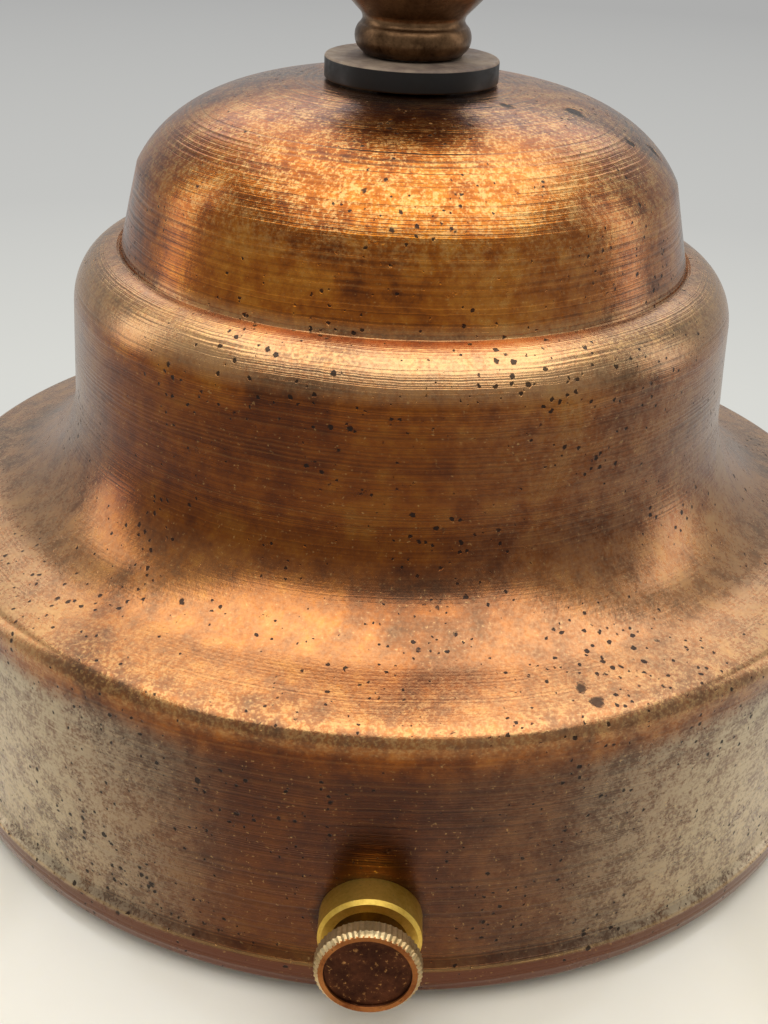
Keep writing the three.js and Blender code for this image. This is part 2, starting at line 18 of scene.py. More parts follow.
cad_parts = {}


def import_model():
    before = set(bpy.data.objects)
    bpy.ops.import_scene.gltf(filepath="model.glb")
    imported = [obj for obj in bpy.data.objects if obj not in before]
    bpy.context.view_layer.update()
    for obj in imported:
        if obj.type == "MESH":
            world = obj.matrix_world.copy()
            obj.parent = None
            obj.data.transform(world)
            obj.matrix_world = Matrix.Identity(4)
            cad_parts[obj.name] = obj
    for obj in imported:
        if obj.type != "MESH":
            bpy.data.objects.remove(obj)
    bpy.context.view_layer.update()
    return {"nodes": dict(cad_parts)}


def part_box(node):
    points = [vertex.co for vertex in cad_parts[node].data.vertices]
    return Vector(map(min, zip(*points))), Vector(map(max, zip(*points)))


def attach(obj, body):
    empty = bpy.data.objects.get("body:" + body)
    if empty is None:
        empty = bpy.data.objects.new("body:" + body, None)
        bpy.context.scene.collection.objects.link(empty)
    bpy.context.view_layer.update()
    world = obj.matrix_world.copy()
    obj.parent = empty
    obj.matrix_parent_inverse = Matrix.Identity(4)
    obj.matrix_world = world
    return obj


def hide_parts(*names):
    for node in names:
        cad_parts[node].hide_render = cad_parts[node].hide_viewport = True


LOG = logging.getLogger("pendant_light")
MM = 0.001
SHARP_EDGE = math.radians(32)


# --------------------------------------------------------------------------------------------
# Outlines and surfaces
# --------------------------------------------------------------------------------------------


def arc(centre: tuple[float, float], radii: tuple[float, float], start: float, end: float,
        steps: int) -> np.ndarray:
    """Points of an ellipse's arc: centre + radii * (cos a, sin a) for a from start to end.

    Args:
        centre: the ellipse's centre.
        radii: its half-widths along the two axes.
        start: first angle in degrees.
        end: last angle in degrees.
        steps: number of steps between them.

    Returns:
        An array of steps + 1 points.
    """
    angle = np.radians(np.linspace(start, end, steps + 1))
    return np.column_stack([centre[0] + radii[0] * np.cos(angle), centre[1] + radii[1] * np.sin(angle)])


def rounded(corners: list[tuple[float, ...]], step: float = 4.0) -> np.ndarray:
    """Straight runs between corners, each inner corner replaced by the arc that touches both runs.

    Args:
        corners: (radius, height) or (radius, height, fillet) for each corner.
        step: degrees between the points of an arc.

    Returns:
        The points of the line.
    """
    pieces = []
    for i, corner in enumerate(corners):
        here = np.array(corner[:2], float)
        fillet = corner[2] if len(corner) > 2 else 0.0
        if fillet <= 0 or i in (0, len(corners) - 1):
            pieces.append(here[None])
            continue
        before = np.array(corners[i - 1][:2], float) - here
        after = np.array(corners[i + 1][:2], float) - here
        before /= np.linalg.norm(before)
        after /= np.linalg.norm(after)
        half = math.acos(float(np.clip(before @ after, -1, 1))) / 2
        middle = (before + after) / np.linalg.norm(before + after)
        centre = here + middle * fillet / math.sin(half)
        reach = fillet / math.tan(half)
        first = here + before * reach - centre
        last = here + after * reach - centre
        start = math.degrees(math.atan2(first[1], first[0]))
        turn = (math.degrees(math.atan2(last[1], last[0])) - start + 180) % 360 - 180
        steps = max(2, math.ceil(abs(turn) / step))
        pieces.append(arc((centre[0], centre[1]), (fillet, fillet), start, start + turn, steps))
    return np.vstack(pieces)


def spread(line: np.ndarray, spacing: float) -> np.ndarray:
    """Adds points along a line wherever two of its points lie more than a spacing apart.

    Args:
        line: points in order.
        spacing: the longest gap left, in millimetres.

    Returns:
        The line with its new points.
    """
    gaps = np.linalg.norm(np.diff(line, axis=0), axis=1)
    runs = [np.linspace(a, b, max(1, math.ceil(gap / spacing)), endpoint=False)
            for a, b, gap in zip(line[:-1], line[1:], gaps)]
    return np.vstack([*runs, line[-1:]])


def grid_mesh(name: str, points: np.ndarray, closed_rows: bool, poles: bool) -> bpy.types.Object:
    """Makes a mesh from a grid of points that wraps round its second direction.

    Args:
        name: the piece's name.
        points: an array (rows, columns, 3) in millimetres; with poles, the first and last rows are
            single points on the axis, repeated.
        closed_rows: whether the last row joins the first.
        poles: whether the first and last rows are closed by fans.

    Returns:
        The new object, smooth shaded with sharp edges kept.
    """
    rows, columns = points.shape[:2]
    body = points[1:-1] if poles else points
    count = body.shape[0]
    spans = count if closed_rows else count - 1
    i, k = np.meshgrid(np.arange(spans), np.arange(columns), indexing="ij")
    j, m = (i + 1) % count, (k + 1) % columns
    quads = np.stack([i * columns + k, i * columns + m, j * columns + m, j * columns + k], -1).reshape(-1, 4)
    uv_rows = np.stack([i, i, i + 1, i + 1], -1).reshape(-1, 4)
    uv_columns = np.stack([k, k + 1, k + 1, k], -1).reshape(-1, 4)
    faces = quads.tolist()
    coords = body.reshape(-1, 3)
    uv = np.stack([uv_columns / columns, uv_rows / max(rows, 1)], -1).reshape(-1, 2)
    if poles:
        coords = np.vstack([coords, points[0, :1], points[-1, :1]])
        low, high = len(coords) - 2, len(coords) - 1
        ring = np.arange(columns)
        following = (ring + 1) % columns
        last = (count - 1) * columns
        bottom = np.stack([np.full(columns, low), following, ring], -1)
        top = np.stack([np.full(columns, high), ring + last, following + last], -1)
        faces += bottom.tolist() + top.tolist()
        fan = np.stack([np.stack([ring + 0.5, ring + 1, ring], -1) / columns,
                        np.zeros((columns, 3))], -1).reshape(-1, 2)
        cap = np.stack([np.stack([ring + 0.5, ring, ring + 1], -1) / columns,
                        np.ones((columns, 3))], -1).reshape(-1, 2)
        uv = np.vstack([uv, fan, cap])
    mesh = bpy.data.meshes.new(name)
    mesh.from_pydata((coords * MM).tolist(), [], faces)
    layer = mesh.uv_layers.new(name="UVMap")
    layer.data.foreach_set("uv", uv.astype(np.float32).ravel())
    mesh.shade_smooth()
    mesh.set_sharp_from_angle(angle=SHARP_EDGE)
    piece = bpy.data.objects.new(name, mesh)
    bpy.context.scene.collection.objects.link(piece)
    return piece


def turned(name: str, profile: np.ndarray, segments: int, relief: np.ndarray | None = None,
           place: Matrix | None = None) -> bpy.types.Object:
    """Turns a profile about Z: each point (r, z) goes to (r cos a, r sin a, z) for every angle a.

    Args:
        name: the piece's name.
        profile: points (radius, height) in millimetres; it closes on itself, or starts and ends on the axis.
        segments: number of angles round the axis.
        relief: an array (points, segments) added to the radii.
        place: where the turned piece goes, in millimetres.

    Returns:
        The new object.
    """
    poles = profile[0, 0] < 1e-6
    closing = np.roll(profile, -1, axis=0)
    area = np.sum(profile[:, 0] * closing[:, 1] - closing[:, 0] * profile[:, 1])
    flip = area < 0
    line = profile[::-1] if flip else profile
    radius = np.repeat(line[:, :1], segments, axis=1)
    if relief is not None:
        radius = radius + (relief[::-1] if flip else relief)
    angle = np.linspace(0, 2 * np.pi, segments, endpoint=False)
    height = np.repeat(line[:, 1:], segments, axis=1)
    points = np.stack([radius * np.cos(angle), radius * np.sin(angle), height], -1)
    if place is not None:
        turn = np.array(place.to_3x3())
        points = points @ turn.T + np.array(place.translation)
    return grid_mesh(name, points, closed_rows=not poles, poles=poles)


def wobble(profile: np.ndarray, segments: int, depth: float, seed: int) -> np.ndarray:
    """Slight unevenness of hand work: a sum of slow waves round the axis and along the profile.

    Args:
        profile: points (radius, height) in millimetres.
        segments: number of angles round the axis.
        depth: the greatest depth, in millimetres.
        seed: the random start.

    Returns:
        Offsets (points, segments).
    """
    random = np.random.default_rng(seed)
    length = np.concatenate([[0], np.cumsum(np.linalg.norm(np.diff(profile, axis=0), axis=1))])
    angle = np.linspace(0, 2 * np.pi, segments, endpoint=False)
    total = np.zeros((len(profile), segments))
    for lobes in (2, 3, 5, 8, 13):
        for wave in (26.0, 11.0):
            phase = random.uniform(0, 2 * np.pi, 2)
            around = np.sin(lobes * angle + phase[0])[None]
            along = np.sin(2 * np.pi * length / wave + phase[1])[:, None]
            total += around * along / lobes
    return total * depth / 2


def threaded(profile: np.ndarray, segments: int, low: float, high: float, pitch: float,
             depth: float) -> np.ndarray:
    """Relief of a screw thread: -depth * (1 + cos(2 pi (z / pitch - a / 2 pi))) / 2 between two heights.

    Args:
        profile: points (radius, height) in millimetres.
        segments: number of angles round the axis.
        low: where the thread starts.
        high: where it ends.
        pitch: from crest to crest.
        depth: the greatest depth, in millimetres.

    Returns:
        Offsets (points, segments).
    """
    angle = np.linspace(0, 2 * np.pi, segments, endpoint=False)
    height = profile[:, 1:]
    wave = (1 + np.cos(2 * np.pi * height / pitch - angle[None])) / 2
    ramp = np.clip(np.minimum(height - low, high - height) / (pitch * 0.4), 0, 1)
    return -depth * wave * ramp


# --------------------------------------------------------------------------------------------
# Finishes
# --------------------------------------------------------------------------------------------


def linear(colour: str) -> tuple[float, float, float, float]:
    """An sRGB hex colour as the linear RGBA that Blender's sockets take."""
    parts = [int(colour[i:i + 2], 16) / 255 for i in (1, 3, 5)]
    return (*[c / 12.92 if c <= 0.04045 else ((c + 0.055) / 1.055) ** 2.4 for c in parts], 1.0)


class Shader:
    """A material's node tree, filled by one function that adds a node with its settings and links."""

    def __init__(self, name: str) -> None:
        """Starts an empty material with only its output.

        Args:
            name: the material's name.
        """
        self.material = bpy.data.materials.new(name)
        self.material.use_nodes = True
        self.tree = self.material.node_tree
        self.tree.nodes.clear()
        self.output = self.tree.nodes.new("ShaderNodeOutputMaterial")

    def add(self, kind: str, inputs: dict | None = None, **settings: object) -> bpy.types.Node:
        """Adds a node.

        Args:
            kind: the node's type, without the ShaderNode prefix.
            inputs: socket name or number to a value, a hex colour, a node or a node's output.
            settings: attributes set on the node.

        Returns:
            The node.
        """
        node = self.tree.nodes.new("ShaderNode" + kind)
        stops = settings.pop("stops", None)
        for key, value in settings.items():
            setattr(node, key, value)
        if stops:
            ramp = node.color_ramp
            while len(ramp.elements) < len(stops):
                ramp.elements.new(0.5)
            for element, (place, colour) in zip(ramp.elements, stops):
                element.position = place
                element.color = linear(colour) if isinstance(colour, str) else (colour, colour, colour, 1)
        for key, value in (inputs or {}).items():
            socket = node.inputs[key]
            if isinstance(value, bpy.types.Node):
                value = next(output for output in value.outputs if output.enabled)
            if isinstance(value, bpy.types.NodeSocket):
                self.tree.links.new(value, socket)
            elif isinstance(value, str):
                socket.default_value = linear(value)
            else:
                socket.default_value = value
        return node

    def finish(self, surface: bpy.types.Node) -> bpy.types.Material:
        """Links the surface shader to the output and returns the material."""
        self.tree.links.new(surface.outputs[0], self.output.inputs["Surface"])
        return self.material


class Slot(Enum):
    """The record's material slots, passed along with the new pieces."""

    COPPER = "aged_copper"
    BRONZE = "bronzed_brass"
    BRASS = "brass"
    SCREW = "thumbscrew_brass"
    STEEL = "steel"
    FIBRE = "black_fibre"
    OPAL = "opal_glass"
    GLASS = "clear_glass"


def per(millimetres: float) -> float:
    """The noise scale, for Object coordinates in metres, of a pattern about this many millimetres across."""
    return 1000.0 / millimetres


@dataclass(frozen=True)
class Mark:
    """A stain or hole on top of the gallery: its turn from the front toward +X, its radius and its reach."""

    turn: float
    radius: float
    reach: float
    strength: float = 0.95

    def place(self) -> tuple[float, float, float]:
        """The mark's place seen from above, in metres."""
        angle = math.radians(self.turn)
        return (self.radius * math.sin(angle) * MM, -self.radius * math.cos(angle) * MM, 0.0)


@dataclass(frozen=True)
class SpunCopper:
    """Aged copper sheet spun on a lathe: fine rings, brown patina rubbed through to orange and pale gold,
    dark pits, with painted highlights and a painted dark reflection mixed into the colour.
    """

    rim_z: float
    screw_height: float
    band_top: float = 36.0
    ridge: float = 38.2
    stage_top: float = 66.0
    shoulder: float = 74.4
    hem_top: float = 3.7
    marks: tuple[Mark, ...] = (
        Mark(44, 18.0, 1.0), Mark(67, 23.5, 1.7), Mark(69, 31.2, 0.8), Mark(79, 33.7, 1.1),
        Mark(22, 63.2, 0.9, 0.8), Mark(22.6, 65.6, 0.8, 0.8))

    def build(self) -> bpy.types.Material:
        """Builds the material from its layers.

        Returns:
            The material.
        """
        s = Shader("aged_spun_copper")
        at = s.add("TexCoord").outputs["Object"]
        axis = s.add("SeparateXYZ", {0: at})
        level = s.add("Math", {0: axis.outputs[2], 1: 1000.0, 2: -self.rim_z}, operation="MULTIPLY_ADD")
        flat = s.add("CombineXYZ", {0: axis.outputs[0], 1: axis.outputs[1]})
        clouds = s.add("TexNoise", {
            "Vector": at, "Scale": per(26), "Detail": 5.0, "Roughness": 0.6, "Distortion": 0.6})
        mottle = s.add("TexNoise", {"Vector": at, "Scale": per(3.0), "Detail": 6.0, "Roughness": 0.72})
        grain = s.add("TexNoise", {"Vector": at, "Scale": per(0.5), "Detail": 2.0, "Roughness": 0.7})
        rings = self.rings(s, axis, flat, clouds)
        mixed = s.add("Math", {0: clouds, 1: 0.56}, operation="MULTIPLY")
        mixed = s.add("Math", {0: mottle, 1: 0.40, 2: mixed}, operation="MULTIPLY_ADD")
        colour = s.add("ValToRGB", {0: mixed}, stops=[
            (0.35, "#4e2204"), (0.43, "#7e3e06"), (0.50, "#a6590c"), (0.57, "#c0751e"), (0.67, "#d09a4c")])
        calm = self.calm(s, level)
        colour = self.turning(s, colour, rings, clouds, calm)
        # Thin grey-beige patina, and a painted reflection on the band's sides and the stage's edges.
        film_and_side_sheen = self.film_and_side_sheen(s, axis, level, mottle, grain)
        colour = self.zones(s, colour, level, film_and_side_sheen)
        # Pale dusty bloom, partly a painted highlight on the flare, ridge and shoulder.
        dust_and_sheen = self.dust_and_sheen(s, level, clouds, grain)
        colour = s.add("Mix", {0: dust_and_sheen, 6: colour, 7: "#d9b384"}, data_type="RGBA")
        # Pale gold of rubbed wear, partly a painted highlight on ridge, shoulder, dome top and hem corner.
        bright = self.wear_and_glints(s, level, mottle, grain)
        colour = s.add("Mix", {0: bright, 6: colour, 7: "#dcae6c"}, data_type="RGBA")
        dark = self.pits(s, at)
        spots = self.stains(s, at, flat, level, mottle)
        dark = s.add("Math", {0: dark, 1: spots}, operation="MAXIMUM")
        colour = s.add("Mix", {0: dark, 6: colour, 7: "#1e1109"}, data_type="RGBA")
        rough = s.add("MapRange", {0: mixed, 1: 0.35, 2: 0.65, 3: 0.21, 4: 0.28})
        rough = s.add("Math", {0: film_and_side_sheen, 1: 0.14, 2: rough}, operation="MULTIPLY_ADD")
        rough = s.add("Math", {0: dark, 1: 0.3, 2: rough}, operation="MULTIPLY_ADD")
        lift = s.add("Math", {0: grain, 1: 0.16}, operation="MULTIPLY")
        lift = s.add("Math", {0: mottle, 1: 0.06, 2: lift}, operation="MULTIPLY_ADD")
        turned_marks = s.add("Math", {0: rings, 1: calm}, operation="MULTIPLY")
        lift = s.add("Math", {0: turned_marks, 1: 0.8, 2: lift}, operation="MULTIPLY_ADD")
        lift = s.add("Math", {0: dark, 1: -0.8, 2: lift}, operation="MULTIPLY_ADD")
        bump = s.add("Bump", {"Height": lift, "Distance": 0.00014, "Strength": 0.9})
        return s.finish(s.add("BsdfPrincipled", {
            "Base Color": colour, "Metallic": 1.0, "Roughness": rough, "Normal": bump,
            "Coat Weight": 0.35, "Coat Roughness": 0.25}))

    def rings(self, s: Shader, axis: bpy.types.Node, flat: bpy.types.Node,
              clouds: bpy.types.Node) -> bpy.types.Node:
        """Turning marks: a noise of height less radius, so that they lie as close on slopes as on walls.

        Args:
            s: the material being filled.
            axis: the Object coordinates, split.
            flat: the Object coordinates seen from above.
            clouds: slow noise.

        Returns:
            The noise.
        """
        radius = s.add("VectorMath", {0: flat}, operation="LENGTH")
        run = s.add("Math", {0: axis.outputs[2], 1: radius}, operation="SUBTRACT")
        bent = s.add("Math", {0: clouds, 1: 0.0016, 2: run}, operation="MULTIPLY_ADD")
        return s.add("TexNoise", {"W": bent, "Scale": per(0.6), "Detail": 2.0, "Roughness": 0.55},
                     noise_dimensions="1D")

    def calm(self, s: Shader, level: bpy.types.Node) -> bpy.types.Node:
        """How strongly the turning marks show at each height: least on the flare, which is rubbed smooth.

        Args:
            s: the material being filled.
            level: height above the rim, in millimetres.

        Returns:
            A factor from 0 to 1.
        """
        away = s.add("Math", {0: level, 1: self.ridge + 4}, operation="SUBTRACT")
        away = s.add("Math", {0: away}, operation="ABSOLUTE")
        return s.add("MapRange", {0: away, 1: 5.0, 2: 12.0, 3: 0.15, 4: 1.0})

    def turning(self, s: Shader, colour: bpy.types.Node, rings: bpy.types.Node, clouds: bpy.types.Node,
                calm: bpy.types.Node) -> bpy.types.Node:
        """Darkens the rings' grooves and brightens their crests.

        Args:
            s: the material being filled.
            colour: the colour so far.
            rings: the turning marks' noise.
            clouds: slow noise.
            calm: how strongly the marks show.

        Returns:
            The colour.
        """
        show = s.add("MapRange", {0: clouds, 1: 0.38, 2: 0.58, 3: 1.0, 4: 0.3})
        show = s.add("Math", {0: show, 1: calm}, operation="MULTIPLY")
        groove = s.add("MapRange", {0: rings, 1: 0.50, 2: 0.34, 3: 0.0, 4: 0.6})
        groove = s.add("Math", {0: groove, 1: show}, operation="MULTIPLY")
        colour = s.add("Mix", {0: groove, 6: colour, 7: "#3a1c0a"}, data_type="RGBA")
        crest = s.add("MapRange", {0: rings, 1: 0.54, 2: 0.72, 3: 0.0, 4: 0.35})
        crest = s.add("Math", {0: crest, 1: show}, operation="MULTIPLY")
        return s.add("Mix", {0: crest, 6: colour, 7: "#c08a4c"}, data_type="RGBA")

    def dust_and_sheen(self, s: Shader, level: bpy.types.Node, clouds: bpy.types.Node,
             grain: bpy.types.Node) -> bpy.types.Node:
        """A thin pale layer on what faces up, the flare, the ridge and the shoulder's rounding: partly a
        dusty bloom, partly a painted highlight that pales and widens their sheen.

        Args:
            s: the material being filled.
            level: height above the rim, in millimetres.
            clouds: slow noise.
            grain: noise half a millimetre across.

        Returns:
            The mask of dusty bloom and painted highlight.
        """
        flare = s.add("MapRange", {0: level, 1: self.ridge + 5, 2: self.ridge + 12, 3: 0.30, 4: 0.0})
        start = s.add("MapRange", {0: level, 1: self.ridge - 3, 2: self.ridge - 0.5, 3: 0.0, 4: 1.0})
        flare = s.add("Math", {0: flare, 1: start}, operation="MULTIPLY")
        # The band along the shoulder's rounding is a painted highlight.
        ledge = s.add("Math", {0: level, 1: self.shoulder - 1.0}, operation="SUBTRACT")
        ledge = s.add("Math", {0: ledge}, operation="ABSOLUTE")
        ledge = s.add("MapRange", {0: ledge, 1: 1.0, 2: 4.0, 3: 0.6, 4: 0.0})
        total = s.add("Math", {0: flare, 1: ledge}, operation="MAXIMUM")
        patchy = s.add("Math", {0: grain, 1: 0.8, 2: clouds}, operation="MULTIPLY_ADD")
        patchy = s.add("MapRange", {0: patchy, 1: 0.72, 2: 1.0, 3: 0.45, 4: 1.0})
        return s.add("Math", {0: total, 1: patchy}, operation="MULTIPLY")

    def film_and_side_sheen(self, s: Shader, axis: bpy.types.Node, level: bpy.types.Node, mottle: bpy.types.Node,
             grain: bpy.types.Node) -> bpy.types.Node:
        """A dull grey-beige layer: a thin patina over the right and round the band's back, and a painted
        reflection at the band's sides and the stage's edges.

        Args:
            s: the material being filled.
            axis: the Object coordinates, split.
            level: height above the rim, in millimetres.
            mottle: noise a few millimetres across.
            grain: noise half a millimetre across.

        Returns:
            The mask of thin patina and painted reflection.
        """
        on_band = s.add("MapRange", {0: level, 1: self.band_top - 4, 2: self.band_top, 3: 1.0, 4: 0.0})
        side = s.add("Math", {0: axis.outputs[0]}, operation="ABSOLUTE")
        # The band's sides, away from the X = 0 plane: painted reflection.
        round_band = s.add("MapRange", {0: side, 1: 0.014, 2: 0.05, 3: 0.0, 4: 1.0},
                           interpolation_type="SMOOTHSTEP")
        rear = s.add("MapRange", {0: axis.outputs[1], 1: -0.02, 2: 0.01, 3: 0.0, 4: 0.4})
        band = s.add("Math", {0: round_band, 1: rear}, operation="MAXIMUM")
        band = s.add("Math", {0: band, 1: on_band}, operation="MULTIPLY")
        right = s.add("MapRange", {0: axis.outputs[0], 1: 0.004, 2: 0.05, 3: 0.0, 4: 0.30})
        # The stage's edges: painted reflection.
        edge = s.add("MapRange", {0: side, 1: 0.036, 2: 0.047, 3: 0.0, 4: 0.35})
        upper = s.add("Math", {0: right, 1: edge}, operation="MAXIMUM")
        total = s.add("Math", {0: band, 1: upper}, operation="MAXIMUM")
        broken = s.add("Math", {0: grain, 1: 0.8, 2: mottle}, operation="MULTIPLY_ADD")
        broken = s.add("MapRange", {0: broken, 1: 0.76, 2: 0.98, 3: 0.3, 4: 1.0})
        return s.add("Math", {0: total, 1: broken}, operation="MULTIPLY")

    def zones(self, s: Shader, colour: bpy.types.Node, level: bpy.types.Node,
              film_and_side_sheen: bpy.types.Node) -> bpy.types.Node:
        """Darker brown on the band and stage, a painted dark reflection of what lies in front of them, the
        grey-beige layer over it, and a red-brown hem.

        Args:
            s: the material being filled.
            colour: the colour so far.
            level: height above the rim, in millimetres.
            film_and_side_sheen: the mask of thin patina and painted reflection.

        Returns:
            The colour.
        """
        # Painted dark reflection: the band's wall is darkened all round.
        band = s.add("MapRange", {0: level, 1: self.band_top - 4, 2: self.band_top, 3: 0.75, 4: 0.0})
        colour = s.add("Mix", {0: band, 6: colour, 7: "#452617"}, data_type="RGBA")
        # Painted dark reflection: the stage's wall is darkened all round.
        below = s.add("MapRange", {0: level, 1: self.stage_top, 2: self.shoulder, 3: 0.6, 4: 0.0})
        above = s.add("MapRange", {0: level, 1: 44.0, 2: 52.0, 3: 0.0, 4: 1.0})
        stage = s.add("Math", {0: below, 1: above}, operation="MULTIPLY")
        colour = s.add("Mix", {0: stage, 6: colour, 7: "#542402"}, data_type="RGBA")
        # Grey-beige of thin patina and painted reflection.
        colour = s.add("Mix", {0: film_and_side_sheen, 6: colour, 7: "#c8b494"}, data_type="RGBA")
        hem = s.add("MapRange", {0: level, 1: self.hem_top - 0.5, 2: self.hem_top, 3: 0.9, 4: 0.0})
        return s.add("Mix", {0: hem, 6: colour, 7: "#6a3c28"}, data_type="RGBA")

    def wear_and_glints(self, s: Shader, level: bpy.types.Node, mottle: bpy.types.Node,
             grain: bpy.types.Node) -> bpy.types.Node:
        """Where hands and cloths rub, which is also where the glints fall: pale patches on ridge, shoulder
        and dome top and a thin line on the hem corner, partly wear and partly painted highlight, and bright
        flecks over the dome.

        Args:
            s: the material being filled.
            level: height above the rim, in millimetres.
            mottle: noise a few millimetres across.
            grain: noise half a millimetre across.

        Returns:
            The mask of wear and painted highlight.
        """
        total = s.add("MapRange", {0: level, 1: 82.0, 2: 90.0, 3: 0.0, 4: 0.6})
        for height, reach in ((self.ridge, 3.0), (self.shoulder, 2.6)):
            away = s.add("Math", {0: level, 1: height}, operation="SUBTRACT")
            away = s.add("Math", {0: away}, operation="ABSOLUTE")
            near = s.add("MapRange", {0: away, 1: 0.0, 2: reach, 3: 0.5, 4: 0.0})
            total = s.add("Math", {0: total, 1: near}, operation="MAXIMUM")
        # A thin pale line on the hem's corner: painted highlight along the bead.
        corner = s.add("Math", {0: level, 1: self.hem_top}, operation="SUBTRACT")
        corner = s.add("Math", {0: corner}, operation="ABSOLUTE")
        corner = s.add("MapRange", {0: corner, 1: 0.05, 2: 0.25, 3: 0.3, 4: 0.0})
        torn = s.add("Math", {0: grain, 1: 1.4, 2: mottle}, operation="MULTIPLY_ADD")
        torn = s.add("MapRange", {0: torn, 1: 1.16, 2: 1.42, 3: 0.0, 4: 1.0})
        rubbed = s.add("Math", {0: total, 1: torn}, operation="MULTIPLY")
        flecks = s.add("MapRange", {0: grain, 1: 0.65, 2: 0.73, 3: 0.0, 4: 0.4})
        rubbed = s.add("Math", {0: rubbed, 1: corner}, operation="MAXIMUM")
        return s.add("Math", {0: rubbed, 1: flecks}, operation="MAXIMUM")

    def pits(self, s: Shader, at: bpy.types.NodeSocket) -> bpy.types.Node:
        """Small ragged pits: in each cell a random size, gathered into drifts by a slow noise.

        Args:
            s: the material being filled.
            at: the Object coordinates.

        Returns:
            The pits' mask.
        """
        shake = s.add("TexNoise", {"Vector": at, "Scale": per(0.5), "Detail": 1.0})
        offset = s.add("VectorMath", {0: shake.outputs["Color"], 1: (0.0005, 0.0005, 0.0005), 2: at},
                       operation="MULTIPLY_ADD")
        drift = s.add("TexNoise", {"Vector": at, "Scale": per(16), "Detail": 3.0, "Roughness": 0.6})
        crowd = s.add("MapRange", {0: drift, 1: 0.38, 2: 0.62, 3: 0.25, 4: 1.0})
        drawn_out = s.add("Mapping", {"Vector": at, "Scale": (0.35, 0.35, 1.0)})
        blots = s.add("TexNoise", {"Vector": drawn_out, "Scale": per(3.5), "Detail": 6.0, "Roughness": 0.8})
        total = s.add("MapRange", {0: blots, 1: 0.66, 2: 0.71, 3: 0.0, 4: 0.7})
        for cell, reach in ((1.0, 0.42), (2.3, 0.23)):
            cells = s.add("TexVoronoi", {"Vector": offset, "Scale": per(cell), "Randomness": 1.0})
            chance = s.add("SeparateColor", {0: cells.outputs["Color"]})
            size = s.add("MapRange", {0: chance, 1: 0.35, 2: 1.0, 3: 0.0, 4: reach})
            size = s.add("Math", {0: size, 1: crowd}, operation="MULTIPLY")
            hole = s.add("Math", {0: size, 1: cells.outputs["Distance"]}, operation="SUBTRACT")
            layer = s.add("MapRange", {0: hole, 1: 0.0, 2: 0.08, 3: 0.0, 4: 0.9})
            total = s.add("Math", {0: total, 1: layer}, operation="MAXIMUM")
        return total

    def stains(self, s: Shader, at: bpy.types.NodeSocket, flat: bpy.types.Node, level: bpy.types.Node,
               mottle: bpy.types.Node) -> bpy.types.Node:
        """The marks on dome and flare, and grime on the band round each collar.

        Args:
            s: the material being filled.
            at: the Object coordinates.
            flat: the Object coordinates seen from above.
            level: height above the rim, in millimetres.
            mottle: noise a few millimetres across.

        Returns:
            The marks' mask.
        """
        ragged = s.add("Math", {0: mottle, 1: 0.003, 2: -0.0015}, operation="MULTIPLY_ADD")
        above = s.add("MapRange", {0: level, 1: self.ridge, 2: self.ridge + 1, 3: 0.0, 4: 1.0})
        total = None
        for mark in self.marks:
            away = s.add("VectorMath", {0: flat, 1: mark.place()}, operation="DISTANCE")
            away = s.add("Math", {0: away, 1: ragged}, operation="ADD")
            spot = s.add("MapRange", {
                0: away, 1: mark.reach * 0.6 * MM, 2: mark.reach * MM, 3: mark.strength, 4: 0.0})
            total = spot if total is None else s.add("Math", {0: total, 1: spot}, operation="MAXIMUM")
        total = s.add("Math", {0: total, 1: above}, operation="MULTIPLY")
        for turn in (0, 120, 240):
            x, y, _ = Mark(turn, 68.0, 8.0).place()
            middle = (x, y, (self.rim_z + self.screw_height) * MM)
            away = s.add("VectorMath", {0: at, 1: middle}, operation="DISTANCE")
            away = s.add("Math", {0: away, 1: ragged}, operation="ADD")
            grime = s.add("MapRange", {0: away, 1: 6.3 * MM, 2: 7.6 * MM, 3: 0.6, 4: 0.0})
            total = s.add("Math", {0: total, 1: grime}, operation="MAXIMUM")
        return total


@dataclass(frozen=True)
class WornMetal:
    """A solid metal piece, turned or drawn: two tones by wear, fine tool rings, dark grain."""

    name: str
    light: str
    deep: str
    roughness: float = 0.34
    spot: str = "#2c1a0e"
    spots: float = 0.6

    def build(self) -> bpy.types.Material:
        """Builds the material.

        Returns:
            The material.
        """
        s = Shader(self.name)
        at = s.add("TexCoord").outputs["Object"]
        clouds = s.add("TexNoise", {"Vector": at, "Scale": per(7), "Detail": 6.0, "Roughness": 0.7})
        grain = s.add("TexNoise", {"Vector": at, "Scale": per(0.6), "Detail": 4.0, "Roughness": 0.7})
        both = s.add("Math", {0: grain, 1: 0.3, 2: clouds}, operation="MULTIPLY_ADD")
        tone = s.add("ValToRGB", {0: both}, stops=[(0.48, self.deep), (0.78, self.light)])
        specks = s.add("MapRange", {0: grain, 1: 0.60, 2: 0.70, 3: 0.0, 4: self.spots})
        colour = s.add("Mix", {0: specks, 6: tone, 7: self.spot}, data_type="RGBA")
        rough = s.add("MapRange", {
            0: both, 1: 0.4, 2: 0.9, 3: self.roughness + 0.1, 4: self.roughness - 0.06})
        bump = s.add("Bump", {"Height": grain, "Distance": 0.00004, "Strength": 0.6})
        return s.finish(s.add("BsdfPrincipled", {
            "Base Color": colour, "Metallic": 1.0, "Roughness": rough, "Normal": bump}))


